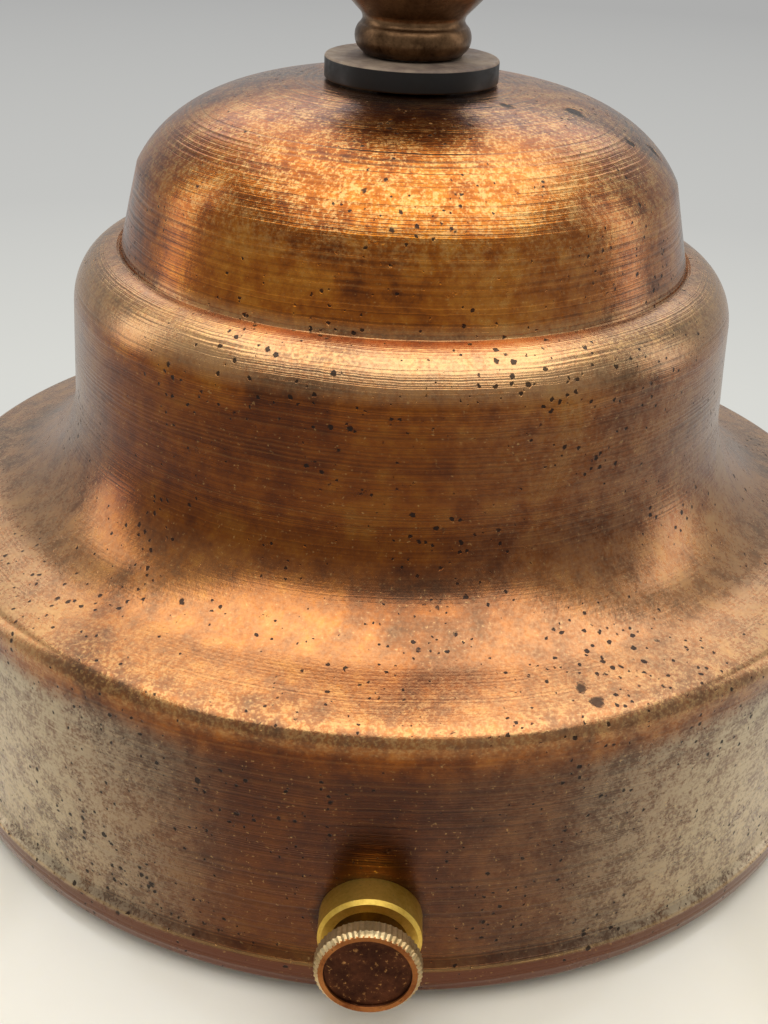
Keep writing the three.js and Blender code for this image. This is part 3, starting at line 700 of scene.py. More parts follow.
@dataclass(frozen=True)
class PaleBody:
    """A dielectric: opal glass, glazed porcelain or black fibre, with faint clouds and a dusty grain."""

    name: str
    light: str
    deep: str
    roughness: float
    ior: float
    cloud: float
    under: float = 0.0

    def build(self) -> bpy.types.Material:
        """Builds the material.

        Returns:
            The material.
        """
        s = Shader(self.name)
        at = s.add("TexCoord").outputs["Object"]
        clouds = s.add("TexNoise", {"Vector": at, "Scale": per(self.cloud), "Detail": 4.0, "Roughness": 0.6})
        grain = s.add("TexNoise", {"Vector": at, "Scale": per(1.2), "Detail": 3.0, "Roughness": 0.7})
        tone = s.add("ValToRGB", {0: clouds}, stops=[(0.38, self.deep), (0.62, self.light)])
        rough = s.add("MapRange", {0: grain, 1: 0.3, 2: 0.75, 3: self.roughness, 4: self.roughness * 1.8})
        bump = s.add("Bump", {"Height": clouds, "Distance": 0.0002, "Strength": 0.12})
        return s.finish(s.add("BsdfPrincipled", {
            "Base Color": tone, "Roughness": rough, "IOR": self.ior, "Normal": bump,
            "Subsurface Weight": self.under, "Subsurface Radius": (0.012, 0.010, 0.007),
            "Subsurface Scale": 1.0}))


@dataclass(frozen=True)
class ClearGlass:
    """Blown soda glass: clear, with a faint waviness."""

    def build(self) -> bpy.types.Material:
        """Builds the material.

        Returns:
            The material.
        """
        s = Shader("clear_blown_glass")
        at = s.add("TexCoord").outputs["Object"]
        wave = s.add("TexNoise", {"Vector": at, "Scale": per(14), "Detail": 2.0})
        bump = s.add("Bump", {"Height": wave, "Distance": 0.0003, "Strength": 0.2})
        tint = s.add("ValToRGB", {0: wave}, stops=[(0.4, "#eef4f4"), (0.6, "#fbfdfd")])
        rough = s.add("MapRange", {0: wave, 1: 0.3, 2: 0.7, 3: 0.0, 4: 0.02})
        return s.finish(s.add("BsdfPrincipled", {
            "Base Color": tint, "Roughness": rough, "IOR": 1.5, "Transmission Weight": 1.0, "Normal": bump}))


@dataclass(frozen=True)
class Finishes:
    """Every material of the lamp, built once."""

    copper: bpy.types.Material
    bronze: bpy.types.Material
    brass: bpy.types.Material
    recess_shade_brass: bpy.types.Material
    knob: bpy.types.Material
    knob_edge: bpy.types.Material
    knob_face: bpy.types.Material
    steel: bpy.types.Material
    fibre: bpy.types.Material
    dusty_fibre: bpy.types.Material
    opal: bpy.types.Material
    porcelain: bpy.types.Material
    glass: bpy.types.Material
    tungsten: bpy.types.Material

    @staticmethod
    def build(rim_z: float, screw_z: float) -> "Finishes":
        """Builds all of them, for a gallery whose rim and screws are at these heights in millimetres.

        Args:
            rim_z: height of the gallery's rim, in millimetres.
            screw_z: height of the screws' axes, in millimetres.

        Returns:
            All the materials.
        """
        return Finishes(
            copper=SpunCopper(rim_z, screw_z - rim_z).build(),
            # Brass darkened with a bronzing dip: nearly chocolate, gold where fingers rub it.
            bronze=WornMetal("bronzed_turned_brass", "#866648", "#3a2617", 0.30).build(),
            # Lacquered brass gone a little brown: yellow, satin.
            brass=WornMetal("tarnished_turned_brass", "#f2cb62", "#c0912f", 0.40, "#6a4818", 0.4).build(),
            # Darker brass for the collar's recess: painted shade.
            recess_shade_brass=WornMetal("painted_shade_recess_brass", "#8a6220", "#4a300c", 0.45, "#2a1a08", 0.5).build(),
            knob=WornMetal("worn_knurled_brass", "#e2c796", "#a07c48", 0.36, "#4a3418", 0.7).build(),
            knob_edge=WornMetal("copper_toned_chamfer", "#b0703c", "#7a4220", 0.32).build(),
            knob_face=WornMetal("brown_patinated_face", "#5c3420", "#2a140c", 0.38, "#c08a50", 0.75).build(),
            steel=WornMetal("zinc_plated_steel", "#b8bab8", "#8c8e8c", 0.36, "#5a5a56", 0.3).build(),
            fibre=PaleBody("black_vulcanised_fibre", "#0e0b09", "#060504", 0.30, 1.45, 6).build(),
            dusty_fibre=PaleBody("dusty_fibre", "#a8947e", "#78665a", 0.5, 1.45, 5).build(),
            opal=PaleBody("cream_opal_glass", "#f2ead9", "#ede4d1", 0.10, 1.52, 60, 0.15).build(),
            porcelain=PaleBody("glazed_porcelain", "#f0ede6", "#e6e2d8", 0.14, 1.5, 12).build(),
            glass=ClearGlass().build(),
            tungsten=WornMetal("drawn_tungsten", "#7a746c", "#4e4943", 0.45).build(),
        )


def paint(piece: bpy.types.Object, materials: list[bpy.types.Material], index: np.ndarray) -> None:
    """Gives each face of a piece one of several finishes, by its number in the list.

    Args:
        piece: the piece.
        materials: its finishes.
        index: a number for each face.
    """
    for material in materials:
        piece.data.materials.append(material)
    piece.data.polygons.foreach_set("material_index", index.astype(np.int32))


def face_centres(piece: bpy.types.Object) -> np.ndarray:
    """The middle of each face, in millimetres.

    Args:
        piece: the piece.

    Returns:
        An array (faces, 3).
    """
    centres = np.empty(len(piece.data.polygons) * 3)
    piece.data.polygons.foreach_get("center", centres)
    return centres.reshape(-1, 3) / MM


def dress(piece: bpy.types.Object, material: bpy.types.Material, body: str, slot: Slot,
          *nodes: str) -> bpy.types.Object:
    """Gives a piece its finish and body, and hides the CAD nodes that it stands for.

    Args:
        piece: the new piece.
        material: its finish.
        body: the CAD body it rides on.
        slot: the record's material slot; not used.
        nodes: the CAD nodes that it replaces.

    Returns:
        The piece.
    """
    if not piece.data.materials:
        piece.data.materials.append(material)
    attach(piece, body)
    if nodes:
        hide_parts(*nodes)
    LOG.info("%s on %s: %d faces", piece.name, body, len(piece.data.polygons))
    return piece


@dataclass(frozen=True)
class Packed:
    """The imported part's own solids that stay in view, by name."""

    nodes: dict[str, bpy.types.Object]

    def dress(self, node: str, material: bpy.types.Material) -> None:
        """Gives one of them its finish.

        Args:
            node: the node's name.
            material: its finish.
        """
        piece = self.nodes[node]
        piece.data.materials.clear()
        piece.data.materials.append(material)
        LOG.info("%s keeps its own shape", node)


def heights(node: str) -> tuple[float, float]:
    """The lowest and highest point of a CAD node, in millimetres."""
    low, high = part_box(node)
    return low.z / MM, high.z / MM


# --------------------------------------------------------------------------------------------
# Gallery and shade
# --------------------------------------------------------------------------------------------


@dataclass
class Gallery:
    """The stepped gallery, spun from one sheet: hem, band, ridge, flare, stage, shoulder and dome."""

    rim_z: float
    wall: float = 0.9
    hem_radius: float = 69.06
    hem_height: float = 3.6
    band_radius: float = 68.0
    cove_height: float = 1.4
    ridge_radius: float = 68.76
    ridge_height: float = 38.47
    ridge_fillet: float = 2.57
    flare_slope: float = 14.4
    stage_radius: float = 47.9
    stage_top_radius: float = 46.92
    stage_height: float = 68.2
    flare_fillet: float = 15.9
    shoulder_width: float = 6.4
    shoulder_rise: float = 7.5
    dome_radius: float = 40.1
    dome_base: float = 74.3
    dome_height: float = 24.6
    dome_side_power: float = 3.2
    dome_top_power: float = 2.48
    seat_radius: float = 15.5
    hole_radius: float = 5.2
    segments: int = 240

    def line(self, inset: float) -> np.ndarray:
        """The surface from the hem up to the seat, moved in by an inset.

        The dome is a superellipse: r = R cos(q)^(2/n), z = base + H sin(q)^(2/m).

        Args:
            inset: how far in, in millimetres.

        Returns:
            Points (radius, height) in millimetres.
        """
        slope = math.tan(math.radians(self.flare_slope))
        drop = inset / math.cos(math.radians(self.flare_slope))
        ridge = self.ridge_radius - inset
        stage = self.stage_radius - inset
        ridge_z = self.ridge_height - drop + inset * slope
        stage_z = ridge_z + (ridge - stage) * slope
        if inset:
            foot = [(self.band_radius - inset, 0.0)]
        else:
            foot = [(self.hem_radius - 1.3, 0.0), (self.hem_radius - 0.35, 0.0, 0.5),
                    (self.hem_radius, 1.6, 2.0), (self.hem_radius, self.hem_height, 0.35),
                    (self.band_radius, self.hem_height + self.cove_height, 2.2)]
        lower = rounded([*foot, (ridge, ridge_z, max(self.ridge_fillet - inset, 0.3)),
                         (stage, stage_z, self.flare_fillet + inset),
                         (self.stage_top_radius - inset, self.stage_height)])
        crease_r = self.stage_top_radius - self.shoulder_width
        crease_z = self.stage_height + self.shoulder_rise - inset
        shoulder_size = (self.shoulder_width - inset, self.shoulder_rise - inset)
        shoulder = arc((crease_r, self.stage_height), shoulder_size, 0, 88, 22)
        groove = arc((crease_r + 0.15, crease_z + 0.1), (0.55, 0.5), 270, 185, 5)
        q = np.radians(np.linspace(26, 88, 56))
        dome_r = (self.dome_radius - inset) * np.cos(q) ** (2 / self.dome_side_power)
        dome_z = self.dome_base + (self.dome_height - inset) * np.sin(q) ** (2 / self.dome_top_power)
        dome = np.column_stack([dome_r, dome_z])
        dome = dome[(dome[:, 0] > self.seat_radius) & (dome[:, 1] > crease_z + 0.3)]
        seat_z = dome[-1, 1] + 0.05
        seat = np.array([[self.seat_radius - 1.5, seat_z], [self.hole_radius, seat_z]])
        return np.vstack([lower[:-1], shoulder, groove, dome, seat])

    def build(self, finishes: Finishes) -> None:
        """Builds the shell as one closed wall and dresses it.

        Args:
            finishes: the lamp's materials.
        """
        outer = spread(self.line(0.0), 1.6)
        inner = spread(self.line(self.wall), 3.2)
        profile = np.vstack([outer, inner[::-1]]) + (0.0, self.rim_z)
        relief = wobble(profile, self.segments, 0.05, seed=4)
        relief[len(outer):] = 0
        shell = turned("spun_gallery", profile, self.segments, relief)
        dress(shell, finishes.copper, "lamp", Slot.COPPER, "gallery_shell")


@dataclass
class Shade:
    """The opal glass shade: lip and neck in the gallery, sloping shoulder, round haunch, ground foot."""

    rim_z: float
    foot_radius: float = 125.0
    wall: float = 4.0
    neck_radius: float = 64.3
    neck_height: float = 22.0
    lip_height: float = 4.0
    lip_stand: float = 1.9
    haunch_radius: float = 122.0
    shoulder_slope: float = 16.0
    shoulder_drop: float = 0.9
    neck_fillet: float = 5.0
    haunch_fillet: float = 38.0
    segments: int = 192

    def line(self, inset: float) -> np.ndarray:
        """The glass from its foot up to the lip, moved in by an inset.

        Args:
            inset: how far in, in millimetres.

        Returns:
            Points (radius, height) in millimetres.
        """
        slope = math.radians(self.shoulder_slope)
        cross = self.rim_z - self.shoulder_drop - inset / math.cos(slope) + inset * math.tan(slope)
        neck = self.neck_radius - inset
        haunch = self.haunch_radius - inset
        fall = (haunch - neck) * math.tan(slope)
        return rounded([(self.foot_radius - inset, 0.0), (haunch, cross - fall, self.haunch_fillet - inset),
                        (neck, cross, self.neck_fillet + inset), (neck, self.rim_z + self.neck_height)])

    def build(self, finishes: Finishes) -> None:
        """Builds the shade as one closed wall with a rounded lip and a softened foot.

        Args:
            finishes: the lamp's materials.
        """
        top = self.rim_z + self.neck_height
        outside = self.neck_radius + self.lip_stand
        inside = self.neck_radius - self.wall
        lip = rounded([(self.neck_radius, top), (outside, top + self.lip_stand, 1.5),
                       (outside, top + self.lip_height, 1.4), (inside, top + self.lip_height, 1.4),
                       (inside, top)])
        outer = spread(self.line(0.0)[1:], 3.0)
        inner = spread(self.line(self.wall)[1:], 4.0)
        foot = rounded([(self.foot_radius - self.wall - 0.05, 2.0), (self.foot_radius - self.wall, 0.0, 0.6),
                        (self.foot_radius, 0.0, 0.6), (self.foot_radius - 0.05, 2.0)])
        profile = np.vstack([foot, outer, lip[1:-1], inner[::-1]])
        glass = turned("opal_shade", profile, self.segments)
        dress(glass, finishes.opal, "lamp", Slot.OPAL, "glass_shade")


# --------------------------------------------------------------------------------------------
# Thumbscrews and collars
# --------------------------------------------------------------------------------------------


@dataclass
class Thumbscrew:
    """A knurled thumbscrew and the brass collar it runs in, on an axis square to the lamp's."""

    name: str
    turn: float
    height: float
    head_face: float = 77.6
    head_length: float = 2.4
    head_radius: float = 6.4
    bevel: float = 0.6
    face_radius: float = 5.08
    face_depth: float = 0.35
    knurls: int = 56
    knurl_depth: float = 0.24
    shank_radius: float = 2.0
    tip: float = 64.6
    collar_radius: float = 6.3
    collar_face: float = 72.3
    collar_root: float = 67.4
    recess_radius: float = 4.7
    recess_depth: float = 1.1
    bore: float = 2.3
    spigot_radius: float = 4.2
    spigot_end: float = 66.8

    def place(self) -> Matrix:
        """Z goes to the outward direction, -Y turned about the lamp's axis by this screw's turn."""
        outward = Matrix.Rotation(math.radians(self.turn), 4, "Z") @ Matrix.Rotation(math.pi / 2, 4, "X")
        return Matrix.Translation(Vector((0, 0, self.height))) @ outward

    def build(self, finishes: Finishes) -> None:
        """Builds the screw and its collar.

        Args:
            finishes: the lamp's materials.
        """
        back = self.head_face - self.head_length
        lines = [
            (0.0, self.tip), (self.shank_radius - 0.6, self.tip), (self.shank_radius, self.tip + 0.7),
            (self.shank_radius, back), (self.shank_radius + 0.9, back), (self.head_radius - 0.35, back),
            (self.head_radius, back + 0.3), (self.head_radius, self.head_face - self.bevel),
            (self.head_radius - self.bevel, self.head_face), (self.face_radius + 0.12, self.head_face),
            (self.face_radius, self.head_face - self.face_depth), (0.0, self.head_face - self.face_depth)]
        profile = spread(np.array(lines), 0.3)
        segments = self.knurls * 6
        angle = np.linspace(0, 2 * np.pi, segments, endpoint=False)
        on_head = (profile[:, 0] > self.head_radius - self.bevel + 0.02) & (profile[:, 1] > back + 0.1)
        along = angle * self.knurls / (2 * np.pi)
        bite = np.random.default_rng(7).uniform(0.55, 1.0, self.knurls)[along.astype(int)]
        teeth = -self.knurl_depth * bite * np.abs((along % 1) * 2 - 1)
        relief = on_head[:, None] * teeth[None]
        on_shank = (profile[:, 0] > self.shank_radius - 0.05) & (profile[:, 0] < self.shank_radius + 0.05)
        thread = threaded(profile, segments, self.tip + 0.8, back - 0.3, 0.7, 0.28)
        relief = relief + on_shank[:, None] * thread
        knob = turned(f"knurled_{self.name}", profile, segments, relief, self.place())
        self.paint_head(knob, finishes)
        dress(knob, finishes.knob, f"screw_{self.name}", Slot.SCREW, f"thumbscrew_{self.name}")
        recess_floor = self.collar_face - self.recess_depth
        collar_line = spread(np.array([
            (self.bore, self.spigot_end), (self.spigot_radius, self.spigot_end),
            (self.spigot_radius, self.collar_root + 0.5), (self.collar_radius, self.collar_root + 0.5),
            (self.collar_radius, self.collar_face - 0.45), (self.collar_radius - 0.45, self.collar_face),
            (self.recess_radius, self.collar_face), (self.recess_radius, recess_floor),
            (self.bore, recess_floor), (self.bore, self.spigot_end)])[:-1], 0.6)
        collar = turned(f"collar_{self.name}", collar_line, 96, None, self.place())
        radius, out = self.faces_from_axis(collar)
        # The recess faces take the darker brass: painted shade in the recess.
        in_recess = (radius < self.recess_radius + 0.02) & (out > recess_floor - 0.1)
        paint(collar, [finishes.brass, finishes.recess_shade_brass], in_recess)
        dress(collar, finishes.brass, "lamp", Slot.BRASS, f"screw_collar_{self.name}")

    def faces_from_axis(self, piece: bpy.types.Object) -> tuple[np.ndarray, np.ndarray]:
        """Each face's distance from the screw's axis, and how far out along it the face lies.

        Args:
            piece: the piece.

        Returns:
            Two arrays, one value for each face.
        """
        back = np.array(self.place().inverted())
        local = face_centres(piece) @ back[:3, :3].T + back[:3, 3]
        return np.linalg.norm(local[:, :2], axis=1), local[:, 2]

    def paint_head(self, knob: bpy.types.Object, finishes: Finishes) -> None:
        """Gives the head's chamfer and its sunk face their own finishes.

        Args:
            knob: the screw.
            finishes: the lamp's materials.
        """
        radius, out = self.faces_from_axis(knob)
        front = out > self.head_face - self.face_depth - 0.05
        chamfer = front & (radius < self.head_radius - self.bevel + 0.05)
        face = front & (radius < self.face_radius + 0.05)
        paint(knob, [finishes.knob, finishes.knob_edge, finishes.knob_face], chamfer.astype(int) + face)


# --------------------------------------------------------------------------------------------
# Suspension
# --------------------------------------------------------------------------------------------


@dataclass
class Suspension:
    """Spacer disc, turned coupling, hanging loop, threaded tube, inner washer and lock nut."""

    packed: Packed
    hole: float = 5.2
    foot_radius: float = 6.7
    bead_radius: float = 7.9
    bead_height: float = 4.4
    neck_radius: float = 6.9
    neck_height: float = 5.0
    knop_radius: float = 15.0
    knop_height: float = 16.0
    throat_radius: float = 7.6
    throat_height: float = 25.0
    collar_radius: float = 9.6
    ring_radius: float = 13.0
    bar_radius: float = 3.0
    segments: int = 128

    def build(self, finishes: Finishes) -> None:
        """Builds each piece of the suspension.

        Args:
            finishes: the lamp's materials.
        """
        self.spacer(finishes)
        self.coupling(finishes)
        self.loop(finishes)
        self.tube(finishes)

    def spacer(self, finishes: Finishes) -> None:
        """The black disc between gallery and coupling, its edges broken.

        Args:
            finishes: the lamp's materials.
        """
        low, high = heights("spacer_disc")
        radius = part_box("spacer_disc")[1].x / MM
        profile = rounded([(self.hole, low + 1), (self.hole, low, 0.2), (radius, low, 0.25),
                           (radius, high, 0.4), (self.hole, high, 0.2), (self.hole, low + 1.5)])
        disc = turned("fibre_spacer", profile, self.segments)
        paint(disc, [finishes.fibre, finishes.dusty_fibre], face_centres(disc)[:, 2] > high - 0.3)
        dress(disc, finishes.fibre, "lamp", Slot.FIBRE, "spacer_disc")

    def coupling(self, finishes: Finishes) -> None:
        """The turned coupling: foot, bead, neck, trumpet, knop, throat and collar round a bore.

        Args:
            finishes: the lamp's materials.
        """
        z, top = heights("turned_coupling")
        root = self.foot_radius - 0.3
        bead_size = (self.bead_radius - root, self.bead_height / 2 - 0.2)
        bead = arc((root, z + self.bead_height / 2), bead_size, -60, 60, 20)
        trumpet = rounded([
            (self.neck_radius, z + self.neck_height - 0.6), (self.neck_radius, z + self.neck_height, 1.3),
            (10.6, z + self.neck_height + 3.8, 7.0), (13.2, z + self.neck_height + 8.0)])
        knop_size = (self.knop_radius - self.throat_radius, 4.4)
        knop = arc((self.throat_radius, z + self.knop_height), knop_size, -40, 80, 26)
        upper = rounded([
            (self.throat_radius, z + self.knop_height + 5), (self.throat_radius, z + self.throat_height, 0.8),
            (self.collar_radius, z + self.throat_height + 2, 0.8), (self.collar_radius, top, 1.0),
            (self.hole, top, 0.3), (self.hole, z)])
        profile = np.vstack([[(self.foot_radius, z)], bead, trumpet, knop, upper])
        body = turned("bronzed_coupling", spread(profile, 1.2), self.segments)
        dress(body, finishes.bronze, "lamp", Slot.BRONZE, "turned_coupling")

    def loop(self, finishes: Finishes) -> None:
        """The hanging ring, (R + r cos b) about its own axis, and the foot it stands on.

        Args:
            finishes: the lamp's materials.
        """
        low, high = heights("hanging_loop")
        base = heights("turned_coupling")[1] + 0.3
        centre = high - self.ring_radius - self.bar_radius
        a, b = np.meshgrid(np.linspace(0, 2 * np.pi, 96, endpoint=False),
                           np.linspace(0, 2 * np.pi, 32, endpoint=False), indexing="ij")
        reach = self.ring_radius + self.bar_radius * np.cos(b)
        points = np.stack([reach * np.cos(a), self.bar_radius * np.sin(b), centre + reach * np.sin(a)], -1)
        ring = grid_mesh("loop_ring", points[::-1], closed_rows=True, poles=False)
        dress(ring, finishes.bronze, "loop", Slot.BRONZE, "hanging_loop")
        profile = rounded([(0.0, low), (3.1, low, 0.3), (3.1, base, 0.2), (8.0, base, 0.4),
                           (8.0, base + 1.8, 0.8), (4.2, base + 3.4, 2.5), (3.4, base + 6.6, 1.0),
                           (0.0, base + 6.6)])
        foot = turned("loop_foot", profile, 64)
        dress(foot, finishes.bronze, "loop", Slot.BRONZE, "hanging_loop")

    def tube(self, finishes: Finishes) -> None:
        """The threaded tube with its washer and nut, below the dome.

        Args:
            finishes: the lamp's materials.
        """
        low, high = heights("threaded_tube")
        rows = np.arange(low, high, 0.16)
        outside = np.column_stack([np.full(len(rows), 4.9), rows])
        profile = np.vstack([outside, [(4.9, high), (3.4, high), (3.4, low)]])
        relief = threaded(profile, 48, low, high, 1.0, 0.45)
        relief[len(rows):] = 0
        tube = turned("tube_thread", profile, 48, relief)
        dress(tube, finishes.steel, "lamp", Slot.STEEL, "threaded_tube")
        self.packed.dress("inner_washer", finishes.steel)
        self.packed.dress("lock_nut", finishes.brass)


# --------------------------------------------------------------------------------------------
# Lampholder and bulb
# --------------------------------------------------------------------------------------------


@dataclass
class Lampholder:
    """The brass Edison lampholder with its porcelain, terminals, socket and contact."""

    packed: Packed
    wall: float = 0.9
    hole: float = 5.2
    segments: int = 96

    def build(self, finishes: Finishes) -> None:
        """Builds the visible turned shells and dresses the rest.

        Args:
            finishes: the lamp's materials.
        """
        low, high = heights("lampholder_skirt")
        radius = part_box("lampholder_skirt")[1].x / MM
        groove = radius - 0.35
        skirt_line = np.vstack([
            rounded([(radius, low, 0.3), (radius, low + 8), (groove, low + 8.6, 0.4),
                     (groove, low + 10.2, 0.4), (radius, low + 10.8), (radius, high)]),
            [(radius - self.wall, high), (radius - self.wall, low)]])
        skirt = turned("holder_skirt", skirt_line, self.segments)
        dress(skirt, finishes.brass, "lamp", Slot.BRASS, "lampholder_skirt")
        low, high = heights("lampholder_cap")
        neck = self.hole + self.wall
        outer = rounded([(radius, low), (radius, low + 10, 8), (neck, high - 8, 3), (neck, high)])
        inner = rounded([(radius - self.wall, low), (radius - self.wall, low + 9.6, 7.1),
                         (self.hole, high - 9.1, 3.9), (self.hole, high)])
        cap = turned("holder_cap", np.vstack([outer, inner[::-1]]), self.segments)
        dress(cap, finishes.brass, "lamp", Slot.BRASS, "lampholder_cap")
        for node in ("retaining_ring", "terminal_screw_1", "terminal_screw_2", "socket_shell",
                     "contact_tongue"):
            self.packed.dress(node, finishes.brass)
        self.packed.dress("insulator_block", finishes.porcelain)


@dataclass
class Bulb:
    """A clear carbon-style bulb with a drawn filament and an Edison cap."""

    packed: Packed
    segments: int = 96
    cap_radius: float = 13.2
    thread_pitch: float = 3.6
    thread_depth: float = 0.7
    wall: float = 0.8

    def build(self, finishes: Finishes) -> None:
        """Builds the cap's rolled thread and the glass, and dresses the rest.

        Args:
            finishes: the lamp's materials.
        """
        low, high = heights("bulb_cap")
        rows = np.arange(low, high - 3, 0.3)
        outside = np.column_stack([np.full(len(rows), self.cap_radius), rows])
        inside = self.cap_radius - 1.3
        profile = np.vstack([outside, [
            (self.cap_radius - 0.3, high - 2.6), (9.2, high), (6.2, high), (6.2, high - 0.5),
            (9.0, high - 0.5), (inside, high - 3), (inside, low)]])
        relief = threaded(profile, self.segments, low + 2, high - 3, self.thread_pitch, self.thread_depth)
        relief[len(rows):] = 0
        cap = turned("rolled_cap", profile, self.segments, relief)
        dress(cap, finishes.brass, "bulb", Slot.BRASS, "bulb_cap")
        globe_low, globe_high = heights("bulb_envelope")
        radius = 30.0
        neck = self.cap_radius - 1.4

        def glass(inset: float) -> np.ndarray:
            """The glass's surface, moved in by an inset.

            Args:
                inset: how far in, in millimetres.

            Returns:
                Points (radius, height) in millimetres.
            """
            ball = arc((0.0, globe_low + 30.0), (radius - inset, radius - inset), -90, 38, 40)
            ball[0, 0] = 0.0
            throat = rounded([tuple(ball[-1]), (neck + 3 - inset, low - 10, 14), (neck - inset, low - 1, 6),
                              (neck - inset, globe_high)])
            return np.vstack([ball[:-1], throat])

        envelope = turned("blown_envelope", np.vstack([glass(0.0), glass(self.wall)[::-1]]), self.segments)
        dress(envelope, finishes.glass, "bulb", Slot.GLASS, "bulb_envelope")
        self.packed.dress("bulb_stem", finishes.glass)
        self.packed.dress("bulb_filament", finishes.tungsten)
        self.packed.dress("bulb_contact", finishes.steel)
        self.packed.dress("bulb_insulator", finishes.fibre)


# --------------------------------------------------------------------------------------------
# Studio
# --------------------------------------------------------------------------------------------


@dataclass
class Camera:
    """A telephoto view, a little above the gallery, close in front of the lamp."""

    rim_z: float
    distance: float = 199.8
    above_rim: float = 133.6
    pitch: float = 26.91
    yaw: float = -0.353
    roll: float = 2.4
    lens: float = 49.92
    orbit: float = 0.3

    def build(self) -> None:
        """Builds the camera: forward from pitch and yaw, then right and up turned by the roll."""
        pitch, yaw, roll = (math.radians(v) for v in (self.pitch, self.yaw, self.roll))
        forward = Vector((math.sin(yaw) * math.cos(pitch), math.cos(yaw) * math.cos(pitch), -math.sin(pitch)))
        right = Vector((math.cos(yaw), -math.sin(yaw), 0))
        up = right.cross(forward)
        across = right * math.cos(roll) + up * math.sin(roll)
        over_top = up * math.cos(roll) - right * math.sin(roll)
        data = bpy.data.cameras.new("camera")
        data.lens = self.lens
        data.sensor_width = 36.0
        data.clip_start = 0.01
        camera = bpy.data.objects.new("camera", data)
        bpy.context.scene.collection.objects.link(camera)
        turn = Matrix((across, over_top, -forward)).transposed().to_4x4()
        at = Vector((0, -self.distance, self.rim_z + self.above_rim)) * MM
        round_lamp = Matrix.Rotation(math.radians(self.orbit), 4, "Z")
        camera.matrix_world = round_lamp @ Matrix.Translation(at) @ turn
        bpy.context.scene.camera = camera


@dataclass
class Softbox:
    """A large soft lamp aimed at a point."""

    name: str
    at: tuple[float, float, float]
    size: tuple[float, float]
    watts: float
    aim: tuple[float, float, float] = (0.0, 0.0, 0.16)
    colour: str = "#ffffff"

    def build(self) -> None:
        """Builds the lamp."""
        data = bpy.data.lights.new(self.name, "AREA")
        data.shape = "RECTANGLE"
        data.size, data.size_y = self.size
        data.energy = self.watts
        data.color = linear(self.colour)[:3]
        lamp = bpy.data.objects.new(self.name, data)
        lamp.location = self.at
        lamp.visible_camera = False
        lamp.rotation_euler = (Vector(self.aim) - Vector(self.at)).to_track_quat("-Z", "Y").to_euler()
        bpy.context.scene.collection.objects.link(lamp)


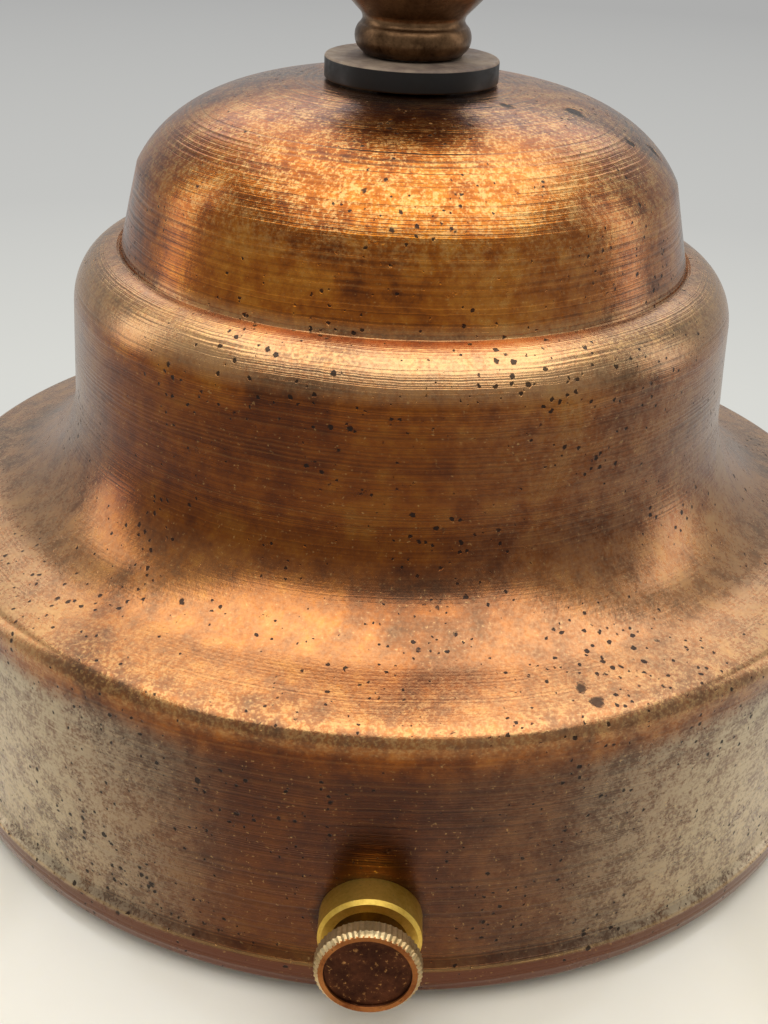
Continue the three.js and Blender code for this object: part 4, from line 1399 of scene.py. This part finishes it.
@dataclass
class Studio:
    """A plain pale sweep, a grey world and soft lamps above and at both sides."""

    paper: str = "#c8c8c4"
    near: str = "#dcdcd6"
    middle: str = "#c5c5c2"
    far: str = "#aeaead"
    world_grey: float = 0.30
    lamps: list[Softbox] = field(default_factory=lambda: [
        Softbox("top", (0.0, -0.1, 1.1), (1.5, 1.4), 13.2),
        Softbox("rear", (0.0, 1.0, 1.05), (1.6, 0.7), 4.5),
        Softbox("left", (-0.95, 0.15, 0.45), (0.25, 0.8), 1.0),
        Softbox("right", (0.95, 0.15, 0.45), (0.25, 0.8), 0.9),
    ])

    def build(self) -> None:
        """Builds the floor, world and lamps."""
        floor = self.floor()
        for lamp in self.lamps:
            lamp.build()
        bpy.context.scene.world = self.sky()
        bpy.context.scene.view_settings.view_transform = "Standard"

    def sky(self) -> bpy.types.World:
        """A grey world that lights evenly and is seen as the sweep's far grey.

        Returns:
            The world.
        """
        world = bpy.data.worlds.new("studio")
        world.use_nodes = True
        tree = world.node_tree
        path = tree.nodes.new("ShaderNodeLightPath")
        seen = tree.nodes.new("ShaderNodeMath")
        seen.operation = "MAXIMUM"
        tree.links.new(path.outputs["Is Camera Ray"], seen.inputs[0])
        tree.links.new(path.outputs["Is Glossy Ray"], seen.inputs[1])
        either = tree.nodes.new("ShaderNodeMath")
        either.operation = "MAXIMUM"
        tree.links.new(seen.outputs[0], either.inputs[0])
        tree.links.new(path.outputs["Is Transmission Ray"], either.inputs[1])
        shown = tree.nodes.new("ShaderNodeMix")
        shown.data_type = "RGBA"
        tree.links.new(either.outputs[0], shown.inputs[0])
        shown.inputs[6].default_value = (self.world_grey,) * 3 + (1.0,)
        shown.inputs[7].default_value = linear(self.far)
        tree.links.new(shown.outputs[2], tree.nodes["Background"].inputs[0])
        return world

    def floor(self) -> bpy.types.Object:
        """A flat disc of paper, pale near the lamp and greyer far away, a painted falloff of light.

        Returns:
            The floor.
        """
        ring = np.array([0.0, 0.2, 0.6, 1.2, 2.4, 5.0, 12.0]) / MM
        angle = np.linspace(0, 2 * np.pi, 64, endpoint=False)
        points = np.stack([ring[:, None] * np.cos(angle), ring[:, None] * np.sin(angle),
                           np.zeros((len(ring), 64))], -1)
        mesh = bpy.data.meshes.new("floor")
        rows, columns = points.shape[:2]
        i, k = np.meshgrid(np.arange(1, rows - 1), np.arange(columns), indexing="ij")
        m = (k + 1) % columns
        quads = np.stack([i * columns + k, (i + 1) * columns + k, (i + 1) * columns + m, i * columns + m], -1)
        fan = [[0, columns + c, columns + (c + 1) % columns] for c in range(columns)]
        mesh.from_pydata((points.reshape(-1, 3) * MM).tolist(), [], fan + quads.reshape(-1, 4).tolist())
        floor = bpy.data.objects.new("floor", mesh)
        bpy.context.scene.collection.objects.link(floor)
        mesh.materials.append(self.paper_sweep())
        return floor

    def paper_sweep(self) -> bpy.types.Material:
        """Paper that takes the lamp's shadow, and further off is seen as an emitted grey that deepens slowly:
        a painted falloff of light.

        Returns:
            The material.
        """
        s = Shader("paper_sweep")
        at = s.add("TexCoord").outputs["Object"]
        away = s.add("VectorMath", {0: at}, operation="LENGTH")
        fibre = s.add("TexNoise", {"Vector": at, "Scale": per(1.5), "Detail": 3.0})
        near = s.add("Bump", {"Height": fibre, "Distance": 0.0001, "Strength": 0.3})
        matte = s.add("BsdfPrincipled", {"Base Color": self.paper, "Roughness": 0.9, "Normal": near})
        along = s.add("MapRange", {0: away, 1: 0.38, 2: 1.78})
        tone = s.add("ValToRGB", {0: along}, stops=[(0.0, self.near), (0.26, self.middle), (1.0, self.far)])
        # Emitted grey, pale near and greyer far: painted falloff of light.
        painted_falloff = s.add("Emission", {"Color": tone, "Strength": 1.0})
        path = s.add("LightPath")
        seen = s.add("Math", {0: path.outputs["Is Camera Ray"], 1: path.outputs["Is Glossy Ray"]},
                     operation="MAXIMUM")
        seen = s.add("Math", {0: seen, 1: path.outputs["Is Transmission Ray"]}, operation="MAXIMUM")
        beyond = s.add("MapRange", {0: away, 1: 0.25, 2: 0.45})
        shown = s.add("Math", {0: seen, 1: beyond}, operation="MULTIPLY")
        return s.finish(s.add("MixShader", {0: shown, 1: matte, 2: painted_falloff}))


def main() -> None:
    """Builds the camera, the studio and the lamp's sub-assemblies in order."""
    logging.basicConfig(level=logging.INFO, format="%(message)s")
    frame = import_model()
    packed = Packed(frame["nodes"])
    rim_z = heights("gallery_shell")[0]
    Camera(rim_z).build()
    Studio().build()
    low, high = heights("thumbscrew_front")
    screw_z = (low + high) / 2
    finishes = Finishes.build(rim_z, screw_z)
    Gallery(rim_z).build(finishes)
    Shade(rim_z).build(finishes)
    for name, turn in (("front", 0.0), ("right", 120.0), ("left", 240.0)):
        Thumbscrew(name, turn, screw_z).build(finishes)
    Suspension(packed).build(finishes)
    Lampholder(packed).build(finishes)
    Bulb(packed).build(finishes)


if __name__ == "__main__":
    main()
